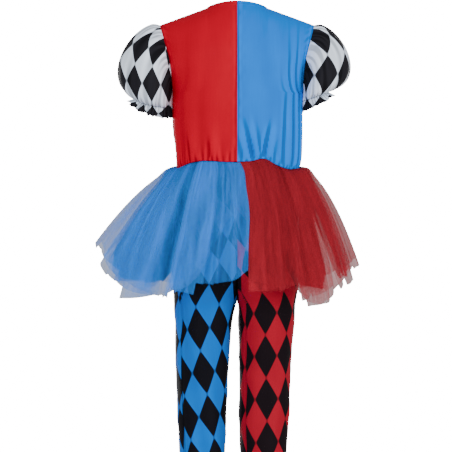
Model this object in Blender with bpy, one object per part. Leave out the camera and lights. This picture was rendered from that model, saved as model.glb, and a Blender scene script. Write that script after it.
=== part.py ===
"""A small child's harlequin costume as it is worn: bodice, puff sleeves, two-coloured tutu and leggings.

Sizes are in millimetres and become metres when a mesh is made. The front of the costume faces -Y, the wearer's
left is +X, and the origin is the middle of the neck opening, at the height where the shoulder seams begin.
Every piece is a thin wall: an outer grid of points, and an inner one moved in by the cloth's thickness.
All seams of the bodice and the leggings lie in the planes x = 0 and y = 0, with a small gap at each.
"""

import math

import bpy
import numpy as np

MM = 0.001
HALF_GAP = 0.15
SATIN = 1.3
TULLE = 1.0
LAYER = TULLE + 2 * HALF_GAP

NECK_HALF_WIDTH = 42.0
NECK_BACK = 34.0
NECK_FRONT = 48.0
NECK_POINT_HEIGHT = -3.0
NAPE_HEIGHT = 3.5
NECK_FRONT_HEIGHT = -36.0
NECK_SHARE = 0.38

SHOULDER_TIP = 108.0
SHOULDER_HEIGHT = -27.0
ARMHOLE_MIDDLE = -75.5
ARMPIT_HEIGHT = -124.0
ARMHOLE_DEPTH = 29.0
SQUARENESS = 0.86

NECK_COLUMNS = {"back": 5, "front": 4}
SHOULDER_COLUMNS = {"back": 9, "front": 7}
LOWER_HEIGHTS = (-203.0, -184.0, -160.0, -138.0, ARMPIT_HEIGHT, -115.0, -98.0, ARMHOLE_MIDDLE)
TOP_ARC_STEPS = 4
FOLD_ROW_RISE = 8.0

WAIST_GAP = 0.7
WAISTBAND_INSET = 3.4
LEG_COLUMNS = 9

SHARP_ANGLE = 50.0
POINTS_PER_WAVE = 4
SLEEVE_GATHERS = 12
SLEEVE_ROWS = 9
FRILL_ROWS = 2

TUTU_LAYERS = {
    "outer": {"flutes": 22, "rows": 6, "length": 1.0, "wave": 4.4, "room": 0.0},
    "under": {"flutes": 12, "rows": 4, "length": 0.95, "wave": 3.0, "room": 13.0},
}
ROW_SPREAD = 1.25
WAVE_ONSET = 5
DOME_OUT, DOME_OUT_AT_SIDE = 0.30, 0.18
DOME_DOWN, DOME_DOWN_AT_SIDE = 0.22, -0.16
PARTING_SHARPNESS = 6
FLUTE_DRIFT = ({"waves": 2.5, "size": 0.070}, {"waves": 6.5, "size": 0.0269})
FLUTE_DEPTHS = ({"pitch": 2.1, "start": 1.0, "size": 0.22}, {"pitch": 5.3, "start": 0.0, "size": 0.16})


class Table:
    """Rows of sizes under named columns, read smoothly between its rows by the first column."""

    def __init__(self, columns, rows):
        rows = sorted(rows)
        self.values = dict(zip(columns, np.array(rows, float).T))
        self.keys = self.values[columns[0]]

    def at(self, column, key):
        """The column's value at any key, on a cubic curve through the rows."""
        values = self.values[column]
        slopes = np.gradient(values, self.keys)
        key = np.clip(key, self.keys[0], self.keys[-1])
        low = np.clip(np.searchsorted(self.keys, key) - 1, 0, len(self.keys) - 2)
        span = self.keys[low + 1] - self.keys[low]
        t = (key - self.keys[low]) / span
        start = values[low] * (1 + 2 * t) * (1 - t) ** 2 + slopes[low] * span * t * (1 - t) ** 2
        end = values[low + 1] * t**2 * (3 - 2 * t) - slopes[low + 1] * span * t**2 * (1 - t)
        return start + end


BODICE = Table(
    ("height", "left", "right", "back", "front"),
    (
        (-236.0, 84.0, 85.5, 58.0, 76.0),
        (-216.0, 85.0, 90.0, 59.0, 77.0),
        (-195.0, 86.8, 91.0, 61.5, 78.0),
        (-170.0, 90.0, 91.5, 64.5, 77.5),
        (-150.0, 90.0, 91.5, 67.0, 75.5),
        (ARMPIT_HEIGHT, 90.0, 92.0, 68.0, 72.0),
        (-100.0, 91.0, 93.0, 68.0, 68.0),
        (ARMHOLE_MIDDLE, 94.0, 95.5, 66.0, 62.0),
    ),
)
WAIST_EDGE = Table(
    ("angle", "left", "right"),
    (
        (0.0, -220.0, -220.0),
        (12.0, -220.0, -219.0),
        (24.0, -218.5, -215.6),
        (36.0, -218.5, -223.0),
        (52.0, -221.5, -229.0),
        (70.0, -227.0, -228.5),
        (90.0, -226.0, -226.0),
        (115.0, -221.0, -223.0),
        (140.0, -225.0, -220.0),
        (160.0, -221.0, -225.0),
        (180.0, -222.0, -222.0),
    ),
)
WAIST_FOLDS = (
    {"side": "left", "face": "back", "angle": 20.0, "width": 7.0, "rise": 26.0, "depth": 1.6},
    {"side": "left", "face": "back", "angle": 44.0, "width": 9.0, "rise": 34.0, "depth": 2.0},
    {"side": "left", "face": "back", "angle": 72.0, "width": 9.0, "rise": 40.0, "depth": 2.4},
    {"side": "right", "face": "back", "angle": 12.0, "width": 6.0, "rise": 30.0, "depth": 2.2},
    {"side": "right", "face": "back", "angle": 30.0, "width": 7.0, "rise": 46.0, "depth": 3.2},
    {"side": "right", "face": "back", "angle": 54.0, "width": 8.0, "rise": 38.0, "depth": 2.6},
    {"side": "right", "face": "back", "angle": 76.0, "width": 7.0, "rise": 44.0, "depth": 2.2},
    {"side": "left", "face": "front", "angle": 110.0, "width": 9.0, "rise": 36.0, "depth": 2.2},
    {"side": "left", "face": "front", "angle": 146.0, "width": 9.0, "rise": 30.0, "depth": 2.4},
    {"side": "right", "face": "front", "angle": 118.0, "width": 9.0, "rise": 32.0, "depth": 2.4},
    {"side": "right", "face": "front", "angle": 152.0, "width": 8.0, "rise": 38.0, "depth": 2.2},
)
LEGS = Table(
    ("height", "left_centre", "left_half", "right_centre", "right_half", "back", "front", "square"),
    (
        (-250.0, 2.0, 81.5, 2.0, 82.5, 57.5, 73.0, 0.88),
        (-290.0, 8.0, 80.0, 7.0, 80.0, 64.0, 70.0, 0.92),
        (-330.0, 18.0, 72.0, 16.0, 71.5, 70.0, 66.0, 1.0),
        (-370.0, 31.0, 59.0, 28.0, 58.0, 66.0, 60.0, 1.0),
        (-398.0, 41.0, 48.0, 38.0, 46.5, 57.0, 52.0, 1.0),
        (-407.0, 43.0, 45.4, 40.0, 43.6, 54.0, 50.0, 1.0),
        (-414.0, 44.2, 43.8, 41.2, 41.1, 51.0, 48.0, 1.0),
        (-440.0, 46.5, 40.3, 41.2, 39.8, 46.0, 44.0, 1.0),
        (-479.0, 48.3, 38.5, 39.9, 37.3, 42.0, 40.0, 1.0),
        (-520.0, 49.0, 36.2, 39.0, 35.8, 38.5, 36.5, 1.0),
        (-580.0, 49.0, 33.8, 37.6, 34.6, 36.5, 33.5, 1.0),
        (-650.0, 48.5, 31.0, 37.0, 31.0, 33.0, 30.5, 1.0),
        (-712.0, 48.0, 28.5, 37.0, 28.5, 29.5, 28.5, 1.0),
    ),
)
TUTU = Table(
    ("angle", "left_reach", "left_drop", "right_reach", "right_drop"),
    (
        (0.0, 64.0, 167.0, 64.0, 167.0),
        (30.0, 66.0, 171.0, 64.0, 176.0),
        (45.0, 71.0, 174.0, 66.0, 178.0),
        (60.0, 86.0, 163.0, 74.0, 168.0),
        (75.0, 104.0, 140.0, 79.0, 152.0),
        (90.0, 114.0, 114.0, 80.0, 136.0),
        (105.0, 104.0, 138.0, 79.0, 150.0),
        (125.0, 82.0, 160.0, 72.0, 164.0),
        (150.0, 62.0, 168.0, 62.0, 168.0),
        (180.0, 58.0, 166.0, 58.0, 166.0),
    ),
)
TUTU_PARTING = Table(
    ("share", "x"),
    ((0.0, -4.0), (0.15, -9.5), (0.35, -12.0), (0.6, -16.5), (0.8, -15.0), (1.0, -14.5)),
)
SLEEVES = {
    "left": {
        "cuff_x": 115.9, "cuff_height": -134.5, "cuff_half_width": 24.6, "cuff_half_depth": 25.5,
        "tilt": 12.0, "head_reach": 42.0, "head_lift": 5.0, "bulge": 62.0, "hang": -12.0, "flare": 58.0, "pitch": 16.0,
    },
    "right": {
        "cuff_x": 109.0, "cuff_height": -127.0, "cuff_half_width": 17.2, "cuff_half_depth": 30.0,
        "tilt": 24.0, "head_reach": 41.0, "head_lift": 4.0, "bulge": 64.0, "hang": 18.0, "flare": 34.0, "pitch": 4.0,
    },
}
FRILL_LENGTH = 15.0
OUTER_FRILL_SHORTENING = 3.8
BACK_FLARE = 14.0
HEAD_FULLNESS = 24.0
HEAD_RIPPLE = 2.1
HEAD_RIPPLE_REACH = 0.30
HEAD_EDGE = 0.08
CUFF_RIPPLE = 2.5
CUFF_RIPPLE_REACH = 0.30
CUFF_EDGE = 0.10
CUFF_EDGE_RIPPLE = 0.35
FRILL_RIPPLE_START = 0.7
FRILL_RIPPLE_GROWTH = 1.7
UNDERARM_RIPPLE = 0.25
RIPPLE_UNEVENNESS = 0.3
SIDE_BULGE = 20.0
UNDERARM_REACH = 4.0
UNDERARM_RISE = 6.0

COLOURS = {
    "red satin": (0.58, 0.016, 0.022),
    "blue satin": (0.08, 0.31, 0.66),
    "white satin": (0.62, 0.66, 0.74),
    "black satin": (0.010, 0.012, 0.015),
    "blue tulle": (0.045, 0.25, 0.60),
    "red tulle": (0.34, 0.012, 0.020),
}
SIGN = {"left": 1.0, "right": -1.0}


def clear_scene():
    for thing in list(bpy.data.objects):
        bpy.data.objects.remove(thing, do_unlink=True)


def cloth_material(name):
    material = bpy.data.materials.new(name)
    material.use_nodes = True
    shader = material.node_tree.nodes["Principled BSDF"]
    shader.inputs["Base Color"].default_value = (*COLOURS[name], 1.0)
    shader.inputs["Roughness"].default_value = 0.75 if "tulle" in name else 0.42
    shader.inputs["Metallic"].default_value = 0.0
    return material


def outward_normals(points, ring):
    """Unit normals of a grid of points, all on its convex side. A ring's first and last columns are neighbours."""
    padded = np.concatenate([points[:, -1:], points, points[:, :1]], axis=1) if ring else points
    across = np.gradient(padded, axis=1)
    along = np.gradient(padded, axis=0)
    normals = np.cross(across, along)
    if ring:
        normals = normals[:, 1:-1]
    normals /= np.linalg.norm(normals, axis=2, keepdims=True)
    bulges_out = np.sum(normals * (points - points.mean(axis=(0, 1)))) > 0
    return normals if bulges_out else -normals


def wall(name, outer, thickness, material, ring=False, keep=None):
    """Makes a closed wall from its outer grid of points. keep moves stray points back to the piece's own side."""
    inner = outer - thickness * outward_normals(outer, ring)
    if keep:
        outer, inner = keep(outer), keep(inner)
    rows, columns = outer.shape[:2]
    index = np.arange(rows * columns).reshape(rows, columns)
    if ring:
        index = np.concatenate([index, index[:, :1]], axis=1)
    a, b, c, d = index[:-1, :-1], index[:-1, 1:], index[1:, 1:], index[1:, :-1]
    skin = np.concatenate([np.stack(three, axis=-1).reshape(-1, 3) for three in ((a, b, c), (a, c, d))])
    under = index + rows * columns
    edges = [(index[0], under[0]), (index[-1, ::-1], under[-1, ::-1])]
    if not ring:
        edges += [(index[::-1, 0], under[::-1, 0]), (index[:, -1], under[:, -1])]
    rims = []
    for top, low in edges:
        rims.append(np.stack([top[:-1], low[:-1], low[1:]], axis=-1))
        rims.append(np.stack([top[:-1], low[1:], top[1:]], axis=-1))
    faces = np.concatenate([skin, skin[:, ::-1] + rows * columns, *rims])
    points = np.concatenate([outer.reshape(-1, 3), inner.reshape(-1, 3)])
    corners = points[faces]
    if np.einsum("ij,ij->i", corners[:, 0], np.cross(corners[:, 1], corners[:, 2])).sum() < 0:
        faces = faces[:, ::-1]
    mesh = bpy.data.meshes.new(name)
    mesh.from_pydata((points * MM).tolist(), [], faces.tolist())
    mesh.materials.append(material)
    mesh.shade_smooth()
    mesh.set_sharp_from_angle(angle=math.radians(SHARP_ANGLE))
    thing = bpy.data.objects.new(name, mesh)
    bpy.context.scene.collection.objects.link(thing)
    return thing


def to_own_side(side, face):
    """Keeps points on their side of the seams: x = 0 between left and right, y = 0 between back and front."""

    def keep(points):
        points = points.copy()
        points[..., 0] = SIGN[side] * np.maximum(SIGN[side] * points[..., 0], HALF_GAP)
        facing = 1.0 if face == "back" else -1.0
        points[..., 1] = facing * np.maximum(facing * points[..., 1], HALF_GAP)
        return points

    return keep


def rounded(cosine, square=SQUARENESS):
    """A cosine flattened towards 1, so that a section is squarer than an ellipse."""
    return np.sign(cosine) * np.abs(cosine) ** square


def armhole_depth(height):
    """How far behind or before the shoulder the armhole's edge lies at a height: half of an ellipse."""
    share = np.clip((height - ARMHOLE_MIDDLE) / (ARMHOLE_MIDDLE - ARMPIT_HEIGHT), -1.0, 0.0)
    return ARMHOLE_DEPTH * np.sqrt(1 - share**2)


def waist_point(side, face, angle, inset=0.0):
    """A point of the waist ring: angle 0 is the middle of the back, 180 the middle of the front."""
    height = WAIST_EDGE.at(side, angle)
    turn = np.radians(angle)
    half, depth = BODICE.at(side, height) - inset, BODICE.at(face, height) - inset
    return half * np.sin(turn), depth * rounded(np.cos(turn)), height


def bodice_panel(side, face, material):
    """A quarter of the bodice, from the waist up to the neck edge and the shoulder seam."""
    facing = 1.0 if face == "back" else -1.0
    neck_u = np.linspace(0, NECK_SHARE, NECK_COLUMNS[face], endpoint=False)
    u = np.concatenate([neck_u, np.linspace(NECK_SHARE, 1, SHOULDER_COLUMNS[face] + 1)])

    def section(height):
        depth = BODICE.at(face, height)
        edge_depth = armhole_depth(height)
        edge_cosine = (edge_depth / depth) ** (1 / SQUARENESS)
        turn = u * np.arccos(edge_cosine)
        half = BODICE.at(side, height) / np.sin(np.arccos(edge_cosine))
        return half * np.sin(turn), depth * rounded(np.cos(turn)), turn

    edge_angle = 90 * u if face == "back" else 180 - 90 * u
    waist = WAIST_EDGE.at(side, edge_angle)
    rows = []
    for height in (waist, waist + FOLD_ROW_RISE, *LOWER_HEIGHTS):
        x, y, turn = section(height)
        rise = height - waist
        for fold in WAIST_FOLDS:
            if (fold["side"], fold["face"]) != (side, face):
                continue
            across = (edge_angle - fold["angle"]) / fold["width"]
            fade = np.clip(rise / FOLD_ROW_RISE, 0, 1) * np.exp(-((rise / fold["rise"]) ** 2))
            out = fold["depth"] * fade * np.exp(-(across**2))
            x, y = x + out * np.sin(turn) * (u < 1), y + out * np.cos(turn)
        rows.append(np.stack([x, facing * y, height + 0 * u], axis=-1))

    form_x, form_y, _ = section(ARMHOLE_MIDDLE)
    neck = np.clip(u / NECK_SHARE, 0, 1) * math.pi / 2
    along_seam = np.clip((u - NECK_SHARE) / (1 - NECK_SHARE), 0, 1)
    neck_depth = NECK_BACK if face == "back" else NECK_FRONT
    neck_rise = (NAPE_HEIGHT if face == "back" else NECK_FRONT_HEIGHT) - NECK_POINT_HEIGHT
    top_x = NECK_HALF_WIDTH * np.sin(neck) + (SHOULDER_TIP - NECK_HALF_WIDTH) * along_seam
    top_y = neck_depth * np.cos(neck)
    top_height = NECK_POINT_HEIGHT + neck_rise * np.cos(neck) ** 2
    top_height = top_height + (SHOULDER_HEIGHT - NECK_POINT_HEIGHT) * along_seam
    roundness = 0.5 + 0.5 * np.cos(neck)
    for step in range(1, TOP_ARC_STEPS + 1):
        share = math.sin(step / TOP_ARC_STEPS * math.pi / 2)
        x = form_x + (top_x - form_x) * share
        y = top_y + (form_y - top_y) * (1 - share**2) ** roundness
        height = ARMHOLE_MIDDLE + (top_height - ARMHOLE_MIDDLE) * share
        rows.append(np.stack([x, facing * y, height], axis=-1))

    grid = np.array(rows)
    grid[..., 0] *= SIGN[side]
    return wall(f"bodice_{face}_{side}", grid, SATIN, material, keep=to_own_side(side, face))


def leg_panel(side, face, material):
    """Half of a legging: an oval section that is cut at x = 0 above the crotch and whole below it."""
    facing = 1.0 if face == "back" else -1.0
    u = np.linspace(0, 1, LEG_COLUMNS + 1)
    rows = []
    angle = 90 - 90 * u if face == "back" else 90 + 90 * u
    x, y, height = waist_point(side, face, angle, WAISTBAND_INSET)
    rows.append(np.stack([x, facing * np.abs(y), height], axis=-1))
    for height in LEGS.keys[::-1]:
        centre, half = LEGS.at(f"{side}_centre", height), LEGS.at(f"{side}_half", height)
        depth, square = LEGS.at(face, height), LEGS.at("square", height)
        end = math.acos(-min((centre - HALF_GAP) / half, 1.0))
        turn = u * end
        x = centre + half * np.cos(turn)
        y = depth * rounded(np.sin(turn), square)
        rows.append(np.stack([x, facing * y, height + 0 * u], axis=-1))
    grid = np.array(rows)
    grid[..., 0] *= SIGN[side]
    return wall(f"leg_{side}_{face}", grid, SATIN, material, keep=to_own_side(side, face))


def flute_angles(flutes):
    """Angles from the back to the front of half a skirt, four to a flute, with flutes uneven in width."""
    share = np.linspace(0, 1, flutes * POINTS_PER_WAVE + 1)
    drift = sum(wave["size"] * np.sin(2 * math.pi * wave["waves"] * share) for wave in FLUTE_DRIFT)
    return 180 * (share + drift / math.pi)


def skirt_surface(side, angle, along):
    """The smooth half skirt, from the waist ring (along = 0) to the hem (1), each line a curve of three points.

    The middle point lies well out and little down at the sides, so that the skirt stands away there like a dome.
    The whole surface slips sideways near the middle of the back, where the two colours part.
    """
    turn = np.radians(angle)
    back, front = waist_point(side, "back", angle), waist_point(side, "front", angle)
    start_y = np.where(angle <= 90, back[1], front[1])
    reach, drop = TUTU.at(f"{side}_reach", angle), TUTU.at(f"{side}_drop", angle)
    level = np.sin(turn) ** 2
    middle_out = reach * (DOME_OUT + DOME_OUT_AT_SIDE * level)
    middle_down = drop * (DOME_DOWN + DOME_DOWN_AT_SIDE * level)
    t = along[:, None]
    out = 2 * t * (1 - t) * middle_out + t**2 * reach
    down = 2 * t * (1 - t) * middle_down + t**2 * drop
    x = SIGN[side] * (back[0] + out * np.sin(turn))
    x = x + TUTU_PARTING.at("x", t) * np.where(angle < 90, np.cos(turn), 0.0) ** PARTING_SHARPNESS
    return np.stack([x, start_y + out * np.cos(turn), back[2] - WAIST_GAP - down], axis=-1)


def tutu_layer(side, name, material):
    """Half of a gathered skirt layer, its flutes raised along the normals of the smooth skirt.

    Its room is how far inside the smooth skirt the layer lies at the hem, so that two layers never touch.
    """
    layer = TUTU_LAYERS[name]
    angle = flute_angles(layer["flutes"])
    along = layer["length"] * np.linspace(0, 1, layer["rows"] + 1) ** ROW_SPREAD
    smooth = skirt_surface(side, angle, along)
    count = np.arange(len(angle)) / POINTS_PER_WAVE
    uneven = 1 + sum(wave["size"] * np.sin(wave["pitch"] * count + wave["start"]) for wave in FLUTE_DEPTHS)
    growth = (along * (1 - (1 - along) ** WAVE_ONSET) / layer["length"])[:, None]
    inset = LAYER * (layer["room"] > 0) + layer["room"] * growth
    height = layer["wave"] * growth * np.cos(2 * math.pi * count) * uneven - inset
    grid = smooth + outward_normals(smooth, False) * height[..., None]
    parting = TUTU_PARTING.at("x", along)[:, None] * (angle < 90)

    def keep(points):
        points = points.copy()
        own_side = SIGN[side] * (points[..., 0] - parting)
        points[..., 0] = parting + SIGN[side] * np.maximum(own_side, HALF_GAP)
        return points

    return wall(f"tutu_{side}_{name}", grid, TULLE, material, keep=keep)


def sleeve(side, material):
    """A puff sleeve from the armhole through its elastic cuff to the frill below it.

    Each line along the sleeve is a cubic curve from the armhole ring to the cuff ring, full on the outer side and
    short under the arm. Gathers ripple it most at the head and at the cuff.
    """
    size = SLEEVES[side]
    count = SLEEVE_GATHERS * POINTS_PER_WAVE
    turn = np.linspace(0, 2 * math.pi, count, endpoint=False)
    outer_side = (1 + np.cos(turn)) / 2
    across = np.sin(turn)

    height = ARMHOLE_MIDDLE + (SHOULDER_HEIGHT - ARMHOLE_MIDDLE) * np.cos(turn)
    below = BODICE.at(side, np.minimum(height, ARMHOLE_MIDDLE))
    rise = np.clip((height - ARMHOLE_MIDDLE) / (SHOULDER_HEIGHT - ARMHOLE_MIDDLE), 0, 1)
    edge = below + (SHOULDER_TIP - below) * rise
    head = np.stack([edge + 2 * HALF_GAP, ARMHOLE_DEPTH * across, height], axis=-1)
    head_out = np.stack([0 * turn + 1, 0 * turn, 0 * turn], axis=-1)
    head_round = np.stack([0 * turn, across, np.cos(turn)], axis=-1)
    head_reach = UNDERARM_REACH + (size["head_reach"] - UNDERARM_REACH) * outer_side
    first = head + head_out * head_reach[:, None]
    first += head_round * (size["head_lift"] * outer_side + HEAD_FULLNESS * across**2)[:, None]

    tilt, pitch = math.radians(size["tilt"]), math.radians(size["pitch"])
    cuff_across = np.array([math.cos(tilt), 0.0, math.sin(tilt)])
    level_down, level_back = np.array([math.sin(tilt), 0.0, -math.cos(tilt)]), np.array([0.0, 1.0, 0.0])
    cuff_down = math.cos(pitch) * level_down - math.sin(pitch) * level_back
    backward = math.cos(pitch) * level_back + math.sin(pitch) * level_down
    cuff_round = np.cos(turn)[:, None] * cuff_across + across[:, None] * backward
    cuff_middle = np.array([size["cuff_x"], 0.0, size["cuff_height"]])
    cuff = cuff_middle + np.cos(turn)[:, None] * cuff_across * size["cuff_half_width"]
    cuff = cuff + across[:, None] * backward * size["cuff_half_depth"]
    second = cuff + cuff_round * (size["bulge"] * outer_side**1.5)[:, None]
    second = second + backward * (SIDE_BULGE * across * np.abs(across))[:, None]
    second = second + cuff_down * (size["hang"] * outer_side**2)[:, None]
    second[:, 2] += UNDERARM_RISE * (1 - outer_side)

    ripple = np.cos(SLEEVE_GATHERS * turn) * (1 + RIPPLE_UNEVENNESS * np.sin(3 * turn + 1))
    ripple = (ripple * (UNDERARM_RIPPLE + (1 - UNDERARM_RIPPLE) * outer_side))[:, None]
    rows = []
    for t in (1 - np.cos(np.linspace(0, 1, SLEEVE_ROWS + 1) * math.pi)) / 2:
        line = (1 - t) ** 3 * head + 3 * t * (1 - t) ** 2 * first + 3 * t**2 * (1 - t) * second + t**3 * cuff
        depth = HEAD_RIPPLE * math.exp(-((t / HEAD_RIPPLE_REACH) ** 2)) * min(1.0, t / HEAD_EDGE)
        near_cuff = min(1.0, CUFF_EDGE_RIPPLE + (1 - t) / CUFF_EDGE)
        depth += CUFF_RIPPLE * math.exp(-(((1 - t) / CUFF_RIPPLE_REACH) ** 2)) * near_cuff
        direction = (1 - t) * head_round + t * cuff_round
        rows.append(line + direction * ripple * depth)
    for step in range(1, FRILL_ROWS + 1):
        share = step / FRILL_ROWS
        flare = size["tilt"] + BACK_FLARE * across**2 + (size["flare"] - size["tilt"]) * outer_side**3
        out = np.radians(flare)[:, None]
        drop = (FRILL_LENGTH - OUTER_FRILL_SHORTENING * outer_side**3)[:, None] * share
        line = cuff + drop * (cuff_down * np.cos(out) + cuff_round * np.sin(out))
        rows.append(line + cuff_round * ripple * (FRILL_RIPPLE_START + FRILL_RIPPLE_GROWTH * share))
    grid = np.array(rows)
    grid[..., 0] *= SIGN[side]
    return wall(f"sleeve_{side}", grid, SATIN, material, ring=True)


def main():
    clear_scene()
    cloth = {name: cloth_material(name) for name in COLOURS}
    own_colour = {"left": "red", "right": "blue"}
    other_colour = {"left": "blue", "right": "red"}
    for side in ("left", "right"):
        bodice_panel(side, "back", cloth[f"{own_colour[side]} satin"])
        bodice_panel(side, "front", cloth["black satin"])
        sleeve(side, cloth["white satin"])
        tulle = cloth[f"{other_colour[side]} tulle"]
        for name in TUTU_LAYERS:
            tutu_layer(side, name, tulle)
        for face in ("back", "front"):
            leg_panel(side, face, cloth[f"{other_colour[side]} satin"])


main()
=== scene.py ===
"""The looks of a small child's harlequin costume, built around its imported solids.

Sizes are in millimetres until a mesh is made. The front of the costume faces -Y, the wearer's left is +X,
and the origin is the middle of the neck opening. Each cloth piece is a fine grid on the form of its own
solid, with the gathers, folds, hems and seams that the solid leaves out. Its UV map holds metres on the
flat cloth.
"""

from __future__ import annotations

import logging
import math
from dataclasses import dataclass, field, replace
from enum import Enum
from typing import Any, Sequence

import bpy
import numpy as np
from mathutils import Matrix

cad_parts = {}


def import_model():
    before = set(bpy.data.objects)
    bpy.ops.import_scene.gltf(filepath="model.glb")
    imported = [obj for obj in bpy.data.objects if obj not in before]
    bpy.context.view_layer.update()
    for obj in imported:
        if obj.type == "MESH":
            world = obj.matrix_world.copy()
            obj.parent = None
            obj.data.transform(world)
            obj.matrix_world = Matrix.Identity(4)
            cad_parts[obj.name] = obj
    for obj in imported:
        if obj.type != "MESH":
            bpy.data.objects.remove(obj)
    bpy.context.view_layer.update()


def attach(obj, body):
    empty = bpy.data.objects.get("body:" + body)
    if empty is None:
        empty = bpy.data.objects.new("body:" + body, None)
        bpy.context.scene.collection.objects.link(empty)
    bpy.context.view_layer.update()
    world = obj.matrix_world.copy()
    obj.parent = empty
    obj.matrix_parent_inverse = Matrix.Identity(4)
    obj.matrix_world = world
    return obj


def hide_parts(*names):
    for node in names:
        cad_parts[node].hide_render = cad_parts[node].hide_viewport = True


LOG = logging.getLogger("costume")
MM = 0.001
SQUARE = 0.86
Array = np.ndarray
Colour = tuple[float, float, float]
Material = bpy.types.Material
Piece = bpy.types.Object
Node = bpy.types.Node
Socket = bpy.types.NodeSocket
Tree = bpy.types.NodeTree


class Side(Enum):
    """The wearer's side that a piece is on."""

    LEFT = "left"
    RIGHT = "right"

    @property
    def sign(self) -> float:
        """1 on the wearer's left, where x is positive, and -1 on the right."""
        return 1.0 if self is Side.LEFT else -1.0


class Face(Enum):
    """Whether a panel is on the back or on the front of the costume."""

    BACK = "back"
    FRONT = "front"

    @property
    def facing(self) -> float:
        """1 at the back, where y is positive, and -1 at the front."""
        return 1.0 if self is Face.BACK else -1.0


class Hold(Enum):
    GATHERED = "gathered"
    STRETCHED = "stretched"
    DRAPED = "draped"


def given(value: Any) -> Any:
    """A dataclass field whose default is this value."""
    return field(default_factory=lambda: value)


class Table:
    """Rows of sizes under named columns, read smoothly between its rows by the first column."""

    def __init__(self, columns: str, *rows: Sequence[float]) -> None:
        """Sorts the rows by their first column.

        Args:
            columns: the columns' names with spaces between, the key's first.
            rows: a number for each column.
        """
        names = columns.split()
        self.values = dict(zip(names, np.array(sorted(rows), float).T))
        self.keys = self.values[names[0]]

    def at(self, column: str, key: Array | float) -> Array:
        """Reads a column on a cubic curve through the rows, whose slopes are those of the rows beside.

        Args:
            column: the column's name.
            key: where to read it, one number or many.

        Returns:
            The column's values, in the key's shape.
        """
        values, keys = self.values[column], self.keys
        slopes = np.gradient(values, keys)
        key = np.clip(key, keys[0], keys[-1])
        low = np.clip(np.searchsorted(keys, key) - 1, 0, len(keys) - 2)
        span = keys[low + 1] - keys[low]
        t = (key - keys[low]) / span
        start = values[low] * (1 + 2 * t) * (1 - t) ** 2 + slopes[low] * span * t * (1 - t) ** 2
        return start + values[low + 1] * t**2 * (3 - 2 * t) - slopes[low + 1] * span * t**2 * (1 - t)


def uneven(key: Array, seed: int, waves: int = 5) -> Array:
    """A smooth uneven curve from about -1 to 1: the mean of sines with pitches and phases from the seed.

    Args:
        key: where to read it; its waves are one unit long and more.
        seed: another seed gives another curve.
        waves: how many sines are added.

    Returns:
        The curve's values, in the key's shape.
    """
    chance = np.random.default_rng(seed)
    pitches = chance.uniform(0.35, 1.0, waves) * 2 * math.pi
    phases = chance.uniform(0, 2 * math.pi, waves)
    return sum(np.sin(key * pitch + phase) for pitch, phase in zip(pitches, phases)) / math.sqrt(waves * 1.5)


def gores(key: Array, seed: int) -> Array:
    """A ragged line of straight slopes between steps, from about -1 to 1, like overlapping hems.

    Args:
        key: where to read it; each slope is 0.8 to 2.2 units wide.
        seed: another seed gives another line.

    Returns:
        The line's values, in the key's shape.
    """
    chance = np.random.default_rng(seed)
    edges = np.cumsum(chance.uniform(0.8, 2.2, int(np.max(key)) * 2 + 4))
    place = np.searchsorted(edges, key)
    start, width = np.concatenate([[0.0], edges])[place], np.diff(edges, prepend=0.0)[place]
    share = (key - start) / width - 0.5
    return chance.uniform(-0.5, 0.5, len(edges))[place] + share * chance.uniform(-1.1, 1.1, len(edges))[place]


def bell(across: Array) -> Array:
    """A ridge of height 1 and half-width 1: e to the power of minus the distance squared."""
    return np.exp(-(across**2))


def step_up(value: Array, start: float, end: float) -> Array:
    """A smooth step from 0 at start to 1 at end: 3 t squared less 2 t cubed."""
    t = np.clip((value - start) / (end - start), 0, 1)
    return t * t * (3 - 2 * t)


def gather_wave(phase: Array) -> Array:
    """The section of gathered cloth, broad tops between narrow valleys: a cosine less part of its double."""
    return np.cos(phase) - 0.22 * np.cos(2 * phase)


def rounded(cosine: Array, square: Array | float = SQUARE) -> Array:
    """A cosine flattened towards 1 by a power below 1, so that a section is squarer than an ellipse."""
    return np.sign(cosine) * np.abs(cosine) ** square


def unit(vectors: Array) -> Array:
    """The vectors at length 1."""
    return vectors / np.maximum(np.linalg.norm(vectors, axis=-1, keepdims=True), 1e-9)


def tinted(colour: Colour, factor: float = 1.0) -> tuple[float, ...]:
    """The colour times a factor, with an alpha of 1."""
    return (*(part * factor for part in colour), 1.0)


def new_piece(name: str, points: Array, faces: Sequence[Sequence[int]], material: Material) -> Piece:
    """Makes a smooth mesh object in the scene.

    Args:
        name: the object's name.
        points: its points in millimetres.
        faces: each face's points by number.
        material: its material.

    Returns:
        The new object.
    """
    mesh = bpy.data.meshes.new(name)
    mesh.from_pydata((points.reshape(-1, 3) * MM).tolist(), [], np.asarray(faces).tolist())
    mesh.materials.append(material)
    mesh.shade_smooth()
    piece = bpy.data.objects.new(name, mesh)
    bpy.context.scene.collection.objects.link(piece)
    return piece


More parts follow.
